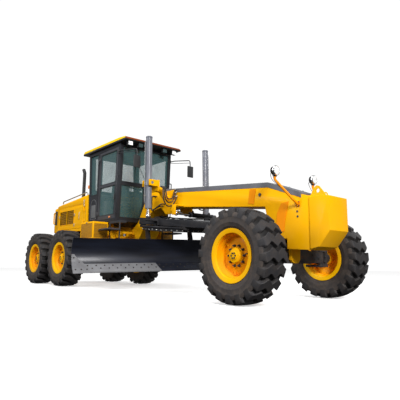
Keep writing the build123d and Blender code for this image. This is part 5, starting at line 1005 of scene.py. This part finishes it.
def front_details(made):
    """Lifting plate and ring of the push block, bolts of the cover."""
    corners = [(4.035, 1.490), (4.330, 1.472), (4.300, 1.530), (4.205, 1.655), (4.165, 1.668), (4.125, 1.640)]
    eye = Vector((4.182, 1.590))
    walls = []
    for near, far in zip(corners, corners[1:] + corners[:1]):
        for part in range(6):
            edge = Vector(near).lerp(Vector(far), part / 6)
            hole = eye + (edge - eye).normalized() * 0.030
            walls.append([Vector((spot.x, y, spot.y)) for spot, y in
                          ((hole, -0.150), (edge, -0.150), (edge, -0.132), (hole, -0.132))])
    made.skin(walls, closed=True)
    middle = Vector((4.21, 0, 1.535))
    ring = [Vector((4.21 + 0.036 * cos(a), 0, 1.535 + 0.040 * sin(a))) for a in turns(24)]
    made.skin([circle(point, (point - middle).normalized(), Vector((0, 1, 0)), 0.010, 10) for point in ring],
              closed=True)
    made.box((4.185, -0.02, 1.488), (4.235, 0.02, 1.505), 0.004)
    made.finish = 1
    for x in (0.70, 1.25, 1.80, 2.35, 2.90, 3.45, 3.70, 3.90):
        for y in (-0.195, 0.195):
            made.bolt((x, y, cover_top(x) + 0.030), UP if x < COVER_LINE[1][0] else (0.35, 0, 0.94), 0.010, 0.008)


def axle_bolts(made):
    """Bolted caps on the front axle and bolts on its front."""
    for y in (-0.3, 0.3):
        made.box((3.44, y - 0.05, 0.815), (3.60, y + 0.05, 0.838), 0.004)
        for x in (3.47, 3.57):
            made.bolt((x, y, 0.838), UP, 0.012, 0.010)
    for y in (-0.5, -0.15, 0.15, 0.5):
        made.bolt((3.632, y, 0.70), (1, 0, 0), 0.013, 0.010)


def knuckle_seal(made):
    """Hub seal, brake line and bolts of a steering knuckle."""
    made.turned([(0.0, 0.085), (0.02, 0.092), (0.032, 0.092), (0.036, 0.088)], (FRONT_AXLE_X, 0.965, AXLE_Z),
                (0, 1, 0), 28)
    for a in turns(6, 0.3):
        made.bolt((FRONT_AXLE_X + cos(a) * 0.074, 0.920, AXLE_Z + sin(a) * 0.074), (0, -1, 0), 0.010, 0.008)
    made.finish = 1
    made.tube([(3.46, 0.80, 0.70), (3.42, 0.79, 0.76), (3.42, 0.86, 0.80), (3.48, 0.93, 0.74)], 0.010, 8, 0.03)


def saddle_hoses(made):
    """Hose loops from the lift cylinders' clamps to the boom."""
    for made.side in (-1, 1):
        for shift, dip in ((0.0, 1.64), (0.045, 1.72), (0.085, 1.79)):
            x, far, near = 1.05 - shift * 0.4, 0.58 - shift, 0.245 + shift * 0.3
            middle = (far + near) / 2
            made.finish = 0
            made.tube([(0.985, far, 2.03), (x, far, 2.02), (x, far - 0.02, dip + 0.12), (x, middle + 0.06, dip),
                       (x, middle - 0.07, dip + 0.02), (x, near, dip + 0.18), (x, 0.226, dip + 0.23)], 0.012, 10, 0.05)
            made.finish = 1
            made.rod((x, 0.2245, dip + 0.235), (x, 0.262, dip + 0.205), 0.015, 12)


draw("head_lamp_{}", head_lamp, [PLASTIC, REFLECTOR, LENS, PAINTED_SHADE_ORANGE, HOSE], "front_frame",
     replaced=("head_lamps",), smooth=30)
draw("frame_side_plates_{}", side_plates, [PAINTED_SHADE_ORANGE, HOSE, PLASTIC], "front_frame", slot="yellow_paint", smooth=30)
draw("nose_ring_and_cover_bolts", front_details, [YELLOW, ZINC], "front_frame")
draw("saddle_hoses", saddle_hoses, [HOSE, ZINC], "front_frame", smooth=40)
draw("front_axle_bolts", axle_bolts, [AXLE_GREY], "front_frame")
draw("knuckle_seal_and_line_{}", knuckle_seal, [GEAR_BLACK, HOSE], "knuckle_{}")

# bare steel on the cutting edge's right half, where it has been changed, black on the rest
EDGE_JOINT = BLADE_SET @ Vector((0, -0.53, -0.72))
EDGE_JOINT_WAY = BLADE_SET.to_3x3() @ Vector((0, 1, 0.7))
marked(softened("cutting_edge", EDGE, 0.002, cuts=[(EDGE_JOINT, EDGE_JOINT_WAY)]), BLADE,
       lambda spot, way: (spot - EDGE_JOINT).dot(EDGE_JOINT_WAY) > 0)


def cover_skirts(made):
    """Sides of the grey cover, folded down over the boom's edges."""
    near, far = BOOM_SIDE, 0.2285
    for made.side in (-1, 1):
        made.skin([[made.here((x, y, cover_top(x) + up)) for y, up in
                    ((near, -0.052), (far, -0.052), (far, 0.027), (near, 0.027))]
                   for x in (0.545, 1.5, 2.5, 3.338, 3.40, 3.7, 3.955)])


draw("frame_cover_sides", cover_skirts, [WALKWAY], "front_frame", slot="grey_paint")


# ---------------------------------------------------------------- hood, boxes and rear
HOOD_SIDE, CAB_SIDE, BOX_SIDE = 0.690, 0.700, 1.080


def upright(x_low, x_high, z_low, z_high, y):
    """Corners of an upright panel that faces the machine's side."""
    return [(x_low, y, z_low), (x_high, y, z_low), (x_high, y, z_high), (x_low, y, z_high)]


def hatch_fittings(made):
    """Vent frames, mesh, latches and handle of a hood hatch."""
    face = HOOD_SIDE
    for x in (-3.50, -3.06):
        made.strip(upright(x, x + 0.42, 1.53, 1.89, face - 0.001), (0, 1, 0), 0.014, 0.006)
    made.strip(upright(-3.548, -2.092, 1.422, 1.978, face - 0.001), (0, 1, 0), 0.008, 0.003)
    made.finish = 1
    for x in (-3.50, -3.06):
        made.box((x - 0.01, face - 0.026, 1.52), (x + 0.43, face - 0.023, 1.90))
    made.finish = 2
    for x, z in ((-3.53, 1.76), (-2.60, 1.76), (-2.60, 1.50)):
        made.box((x - 0.018, face, z - 0.04), (x + 0.018, face + 0.010, z + 0.04), 0.004)
        made.rod((x, face + 0.008, z + 0.012), (x, face + 0.016, z + 0.012), 0.011, 14)
    made.tube([(-2.30, face - 0.002, 1.62), (-2.30, face + 0.020, 1.63), (-2.30, face + 0.020, 1.79),
               (-2.30, face - 0.002, 1.80)], 0.007, 10, 0.015)


def hood_fittings(made):
    """Seams, grab handle, filler cap and hood top panels."""
    slope = (2.22 - 2.095) / 1.8
    for made.side in (-1, 1):
        face = HOOD_SIDE
        made.finish = 0
        for x in (-1.99, -3.60):
            made.box((x - 0.003, face - 0.001, 1.36), (x + 0.003, face + 0.0025, 2.05), 0.001)
        made.finish = 1
        made.tube([(-2.045, face - 0.001, 1.92), (-2.045, face + 0.022, 1.93), (-2.045, face + 0.022, 2.08),
                   (-2.045, face - 0.001, 2.09)], 0.010, 12, 0.018)
    made.finish = 2
    for low, high in ((-3.55, -3.02), (-2.78, -2.35)):
        made.strip([(x, y, 2.0955 + slope * (x + 3.68)) for x, y in
                    ((low, -0.40), (high, -0.40), (high, 0.40), (low, 0.40))], UP, 0.012, 0.004)
    made.turned([(0, 0.055), (0.03, 0.055), (0.036, 0.05), (0.05, 0.05), (0.056, 0.044)], (-2.15, 0.33, 2.195), UP, 24)
    made.finish = 0
    made.turned([(0, 0.075), (0.006, 0.075), (0.010, 0.068)], (-2.9, -0.33, 2.148), (-slope, 0, 1), 28)


def side_box(made):
    """Slotted screens, lid seam and latch of a side box; grip bars on the steps."""
    outer = BOX_SIDE
    made.box((-1.345, outer, 1.085), (-0.805, outer + 0.004, 1.40), 0.0015)
    for x in (-1.374, -0.780):
        made.box((x, 0.74, 1.085), (x + 0.004, 1.055, 1.40), 0.0015)
    made.finish = 1
    made.strip(upright(-1.345, -0.805, 1.085, 1.40, outer), (0, 1, 0), 0.012, 0.007)
    made.finish = 2
    made.box((-1.10, outer, 1.402), (-1.05, outer + 0.012, 1.428), 0.003)
    for z in (0.670, 0.970, 1.270):
        for row in range(6):
            y = 0.735 + row * 0.044
            made.box((-0.722, y - 0.006, z), (-0.278, y + 0.006, z + 0.006), 0.002)


def rear_fittings(made):
    """Radiator mesh, tail lamps and lifting loops at the rear."""
    made.box((-4.004, -0.538, 1.445), (-4.0, 0.538, 1.962))
    made.finish = 1
    for made.side in (-1, 1):
        made.box((-4.082, 0.548, 1.46), (-4.058, 0.602, 1.72), 0.006)
        made.tube([(-4.37, 0.35, 1.318), (-4.37, 0.35, 1.40), (-4.37, 0.18, 1.40), (-4.37, 0.18, 1.318)],
                  0.014, 12, 0.03)
    for y in (-0.45, -0.15, 0.15, 0.45):
        made.bolt((-4.37, y, 1.320), UP, 0.013, 0.010)
    for made.finish, low, high in ((2, 1.60, 1.71), (3, 1.47, 1.59)):
        for made.side in (-1, 1):
            made.box((-4.088, 0.554, low), (-4.080, 0.596, high), 0.003)


def rear_lamps(made):
    """Amber and red lamps in the black boxes on the guards."""
    for made.side in (-1, 1):
        for made.finish, low, high in ((0, 1.675, 1.735), (1, 1.745, 1.825)):
            made.box((-3.816, 0.6295, low), (-3.809, 0.6855, high), 0.003)


draw("hatch_fittings_{}", hatch_fittings, [YELLOW, MESH_YELLOW, ZINC], "hatch_{}", smooth=30)
draw("hood_fittings", hood_fittings, [SEAL, ZINC, YELLOW], "chassis", smooth=30)
draw("side_box_fittings_{}", side_box, [MESH_YELLOW, YELLOW, GALVANISED], "chassis", smooth=30)
draw("rear_fittings", rear_fittings, [MESH_DARK, PLASTIC, RED, AMBER], "chassis", smooth=30)
# zinc handrails on the hood, yellow loops round the black boxes of the rear lamps
rails = softened("guard_rails", ZINC, 0.0, 1)
marked(rails, YELLOW, lambda spot, way: spot.z < 2.0 and (abs(spot.y) > 0.69 or spot.x < -3.81))
marked(rails, PLASTIC, lambda spot, way: spot.z < 2.0 and spot.x > -3.811 and abs(spot.y) < 0.69 or
       (spot.x > -3.722 and spot.z < 2.0))
draw("rear_lamps", rear_lamps, [AMBER, RED], "chassis")


# ---------------------------------------------------------------- cab outside
def front_of(z):
    """How far ahead the cab's front is at a height."""
    return -0.47 + 0.04 * (z - 1.45)


def door_fittings(made):
    """Pane seals, handle, stop and reflector of a cab door."""
    face = CAB_SIDE
    for low, high in ((1.62, 2.26), (2.34, 3.05)):
        pane = ((-1.265, low), (front_of(low) - 0.146, low), (front_of(high) - 0.146, high), (-1.265, high))
        made.strip([(x, face - 0.001, z) for x, z in pane], (0, 1, 0), 0.012, 0.005)
        made.strip([(x, face - 0.046, z) for x, z in pane], (0, 1, 0), 0.010, 0.003)
    made.finish = 1
    made.box((-0.578, face, 1.90), (-0.545, face + 0.012, 2.07), 0.004)
    made.tube([(-0.562, face + 0.008, 2.055), (-0.562, face + 0.030, 2.045), (-0.562, face + 0.030, 1.935),
               (-0.562, face + 0.008, 1.925)], 0.008, 10, 0.02)
    made.tube([(-0.64, face - 0.044, 2.30), (-0.66, face - 0.075, 2.30), (-1.16, face - 0.075, 2.30),
               (-1.18, face - 0.044, 2.30)], 0.010, 10, 0.03)
    # the reflector takes the amber lens finish and glows a little, as painted light
    made.finish = 2
    made.box((-0.81, face, 1.545), (-0.75, face + 0.010, 1.580), 0.004)


def cab_seals(made):
    """Screen seals, grab rails, wiper, side lamps and the arched panel on the cab."""
    tilt = Vector((1, 0, -0.04)).normalized()
    for y_low, y_high, low, high in ((-0.62, 0.62, 2.345, 3.12), (-0.62, -0.04, 1.55, 2.255),
                                     (0.04, 0.62, 1.55, 2.255)):
        made.strip([(front_of(z) + 0.0005, y, z) for y, z in
                    ((y_low, low), (y_high, low), (y_high, high), (y_low, high))], tilt, 0.013, 0.006)
    face = CAB_SIDE
    for made.side in (-1, 1):
        made.finish = 0
        made.strip([(-1.772, face, 2.15), (-1.415, face, 2.15), (-1.415, face, 3.12), (-1.809, face, 3.12)],
                   (0, 1, 0), 0.012, 0.005)
        made.finish = 1
        made.tube([(-0.452, face - 0.002, 1.62), (-0.452, face + 0.045, 1.62), (-0.428, face + 0.045, 2.45),
                   (-0.428, face - 0.002, 2.45)], 0.012, 12, 0.03)
        made.finish = 2
        made.box((-1.862, face - 0.01, 2.34), (-1.822, face + 0.020, 2.42), 0.005)
        made.finish = 3
        arch = [(-1.70, 1.56), (-1.42, 1.56), (-1.42, 1.90)]
        arch += [(-1.56 + 0.14 * cos(a), 1.90 + 0.14 * sin(a)) for a in (pi * k / 10 for k in range(1, 10))]
        made.strip([(x, face - 0.001, z) for x, z in arch + [(-1.70, 1.90)]], (0, 1, 0), -0.012, 0.004)
        made.box((-1.66, face - 0.001, 1.60), (-1.46, face + 0.002, 1.90), 0.001)
    made.finish = 0
    pivot = Vector((front_of(2.30) + 0.010, 0.05, 2.30))
    tip = Vector((front_of(2.86) + 0.018, -0.30, 2.86))
    made.rod(pivot - tilt * 0.012, pivot + tilt * 0.022, 0.018, 14)
    made.tube([pivot + tilt * 0.016, (pivot + tip) / 2 + tilt * 0.02, tip + tilt * 0.012], 0.006, 8, 0.05)
    made.box((front_of(2.86) + 0.008, -0.304, 2.56), (front_of(2.86) + 0.022, -0.296, 3.06), 0.002)


def mirrors_and_lamps(made):
    """Mirrors on their arms and the work lamps under the roof."""
    for made.side in (-1, 1):
        made.finish = 0
        made.box((-0.47, 0.7005, 2.96), (-0.42, 0.722, 3.04), 0.004)
        made.tube([(-0.445, 0.714, 3.0), (-0.30, 0.73, 3.0), (0.30, 0.72, 2.9), (0.312, 0.72, 2.75)], 0.011, 12, 0.05)
        made.tube([(-0.445, 0.714, 2.975), (-0.30, 0.735, 2.94), (0.20, 0.725, 2.86), (0.30, 0.72, 2.84)],
                  0.006, 8, 0.05)
        made.box((0.300, 0.64, 2.50), (0.330, 0.80, 2.76), 0.014)
        made.finish = 1
        made.box((0.2965, 0.652, 2.515), (0.301, 0.788, 2.745), 0.002)
        for y, lens in ((0.33, 3), (0.60, 2)):
            made.finish = 0
            made.box((-0.23, y - 0.055, 3.105), (-0.152, y + 0.055, 3.195), 0.010)
            made.box((-0.20, y - 0.012, 3.19), (-0.18, y + 0.012, 3.20))
            made.finish = lens
            made.box((-0.155, y - 0.052, 3.108), (-0.148, y + 0.052, 3.192), 0.002)


draw("door_fittings_{}", door_fittings, [SEAL, PLASTIC, AMBER], "cab_door_{}", smooth=30)
draw("cab_seals_and_rails", cab_seals, [SEAL, DARK, AMBER, TRIM_GREY], "chassis", smooth=30)
draw("mirrors_and_roof_lamps", mirrors_and_lamps, [PLASTIC, MIRROR, WHITE_LENS, GLASS], "chassis",
     replaced=("cab_fittings",), smooth=30)


# ---------------------------------------------------------------- cab inside
def padded_form(name, size, crown):
    """A stuffed pad about the origin, crowned on top, with sewn channels across it and pulled-in sides."""
    power, seams, waist = 5.0, (-0.42, 0.42), 0.05
    work = bmesh.new()
    bmesh.ops.create_cube(work, size=2)
    bmesh.ops.subdivide_edges(work, edges=work.edges[:], cuts=23, use_grid_fill=True)
    half = Vector(size) / 2
    for vert in work.verts:
        long = sum(abs(part) ** power for part in vert.co) ** (1 / power)
        x, y, z = (part / long for part in vert.co)
        fall = max(1 - x * x, 0) * max(1 - y * y, 0)
        rise = crown * fall if z > 0 else 0.0
        for seam in seams:
            rise -= 0.016 * pow(2.718, -((y - seam) / 0.05) ** 2) * max(z, 0) * max(1 - abs(x) ** 8, 0)
        pull = 1 - waist * (1 - min(abs(z) * 1.4, 1)) * (1 - abs(y) ** 4 * 0.5)
        vert.co = (x * half.x * pull, y * half.y * pull, z * half.z + rise)
    return given_mesh(work, name)


def piping(size):
    """Sewn cord round a pad's upper edge."""
    a, b = size[0] / 2 * 0.955, size[1] / 2 * 0.955
    points = [Vector((a * abs(cos(t)) ** 0.4 * (1 if cos(t) > 0 else -1),
                      b * abs(sin(t)) ** 0.4 * (1 if sin(t) > 0 else -1), size[2] * 0.30)) for t in turns(48)]
    made = Maker()
    made.skin([circle(point, (points[(k + 1) % 48] - points[k - 1]).normalized().cross(UP), UP, 0.006, 8)
               for k, point in enumerate(points)], closed=True)
    return made.mesh("piping")


def seat_pads():
    """Cushion and backrest."""
    lean = Matrix.Translation((-1.540, 0, 2.262)) @ Matrix.Rotation(radians(96.8), 4, "Y") @ Matrix.Rotation(pi, 4, "X")
    for name, size, place, crown, replaced in (
            ("seat_cushion", (0.50, 0.50, 0.125), Matrix.Translation((-1.31, 0, 1.9345)), 0.018, ("driver_seat",)),
            ("seat_backrest", (0.64, 0.46, 0.115), lean, 0.016, ())):
        piece = joined(name, [(padded_form(name, size, crown), 0, place), (piping(size), 1, place)], [SEAT, SEAL],
                       "chassis", smooth=60, replaced=replaced)


def seat_pedestal(made):
    """Foot, bellows, pan and armrests under and beside the seat."""
    made.box((-1.45, -0.16, 1.5105), (-1.15, 0.16, 1.545), 0.006)
    for z in (1.55 + fold * 0.036 for fold in range(7)):
        made.skin([[(-1.30 + 0.13 * x * w, 0.14 * y * w, z + h) for x, y in ((-1, -1), (1, -1), (1, 1), (-1, 1))]
                   for h, w in ((0, 0.90), (0.018, 1.08), (0.0355, 0.90))])
    made.finish = 1
    made.box((-1.50, -0.20, 1.80), (-1.10, 0.20, 1.868), 0.012)
    for made.side in (-1, 1):
        made.box((-1.50, 0.255, 2.10), (-1.18, 0.315, 2.15), 0.018)
        made.box((-1.49, 0.252, 1.84), (-1.45, 0.272, 2.12), 0.005)


def cab_inside(made):
    """Mat, headlining, side consoles, control levers and pedals."""
    made.box((-1.72, -0.63, 1.5105), (-0.56, 0.63, 1.520), 0.002)
    for y in (-0.60 + row * 0.0923 for row in range(14)):
        made.box((-1.05, y - 0.008, 1.520), (-0.58, y + 0.008, 1.5235), 0.001)
    made.finish = 1
    made.box((-1.76, -0.60, 3.105), (-0.50, 0.60, 3.136), 0.006)
    for made.side in (-1, 1):
        made.box((-1.70, 0.43, 1.52), (-1.16, 0.61, 1.98), 0.02)
    made.box((-1.735, -0.42, 1.60), (-1.70, 0.42, 2.22), 0.01)
    made.finish = 2
    for made.side in (-1, 1):
        made.box((-0.80, 0.13, 2.06), (-0.70, 0.29, 2.16), 0.012)
        for y in (0.145 + lever * 0.032 for lever in range(5)):
            made.tube([(-0.76, y, 2.15), (-0.775, y, 2.22), (-0.81, y, 2.285)], 0.0045, 8)
            made.turned([(0, 0.008), (0.012, 0.013), (0.026, 0.013), (0.032, 0.008)], (-0.806, y, 2.278),
                        (-0.5, 0, 1), 12)
        made.tube([(-0.58, 0.2, 1.60), (-0.64, 0.2, 1.64)], 0.012, 8)
        made.box((-0.66, 0.165, 1.60), (-0.645, 0.235, 1.70), 0.005)
        made.turned([(0, 0.02), (0.05, 0.02), (0.06, 0.024), (0.09, 0.018)], (-1.30, 0.52, 1.975), UP, 16)


def engine_fittings(made):
    """Rocker covers, manifold, side covers and pulleys on the engine block."""
    for x in (-2.95, -2.65, -2.35):
        made.box((x - 0.12, -0.10, 1.895), (x + 0.12, 0.10, 1.955), 0.02)
    for made.side in (-1, 1):
        for x in (-3.0, -2.8, -2.6, -2.4, -2.2):
            made.tube([(x, 0.318, 1.78), (x, 0.38, 1.78), (x + 0.05, 0.40, 1.70)], 0.028, 12, 0.04)
        made.tube([(-3.05, 0.40, 1.69), (-2.10, 0.40, 1.69)], 0.045, 14)
        made.box((-2.9, 0.318, 1.15), (-2.3, 0.345, 1.45), 0.01)
        for number in range(6):
            made.bolt((-2.85 + number * 0.10, 0.345, 1.42), (0, 1, 0), 0.010, 0.008)
    made.turned([(0, 0.11), (0.03, 0.11), (0.034, 0.09), (0.05, 0.09)], (-3.198, 0, 1.45), (-1, 0, 0), 32)
    made.turned([(0, 0.07), (0.04, 0.07), (0.045, 0.05)], (-3.198, 0.18, 1.65), (-1, 0, 0), 24)


def tandem_covers(made):
    """Bolted inspection covers of the tandem cases."""
    for made.side in (-1, 1):
        for x in (-2.48, -3.24):
            made.turned([(0, 0.105), (0.008, 0.105), (0.012, 0.098)], (x, 0.800, 0.66), (0, 1, 0), 28)
            for a in turns(8):
                made.bolt((x + 0.084 * cos(a), 0.810, 0.66 + 0.084 * sin(a)), (0, 1, 0), 0.009, 0.008)


seat_pads()
draw("seat_pedestal", seat_pedestal, [HOSE, PLASTIC], "chassis", smooth=30)
draw("cab_inside", cab_inside, [HOSE, TRIM_GREY, PLASTIC], "chassis", smooth=30)
draw("engine_fittings", engine_fittings, [IRON], "chassis", smooth=30)
draw("tandem_covers", tandem_covers, [YELLOW], "chassis", slot="yellow_paint", smooth=30)

# ---------------------------------------------------------------- floor
ground = Maker()
ground.box((-40, -40, -0.5), (40, 40, 0))
floor = bpy.data.objects.new("floor", ground.mesh("floor"))
scene.collection.objects.link(floor)
pale = Finish("pale_floor", Roughness=0.7, Specular_IOR_Level=0.1, Emission_Color=(1, 1, 1, 1), Emission_Strength=0.5)
floor.data.materials.append(pale.feed(Base_Color=pale.tint((0.9, 0.9, 0.9), (0.87, 0.87, 0.87), pale.noise(0.4, 3))))
floor.visible_diffuse = floor.visible_glossy = False
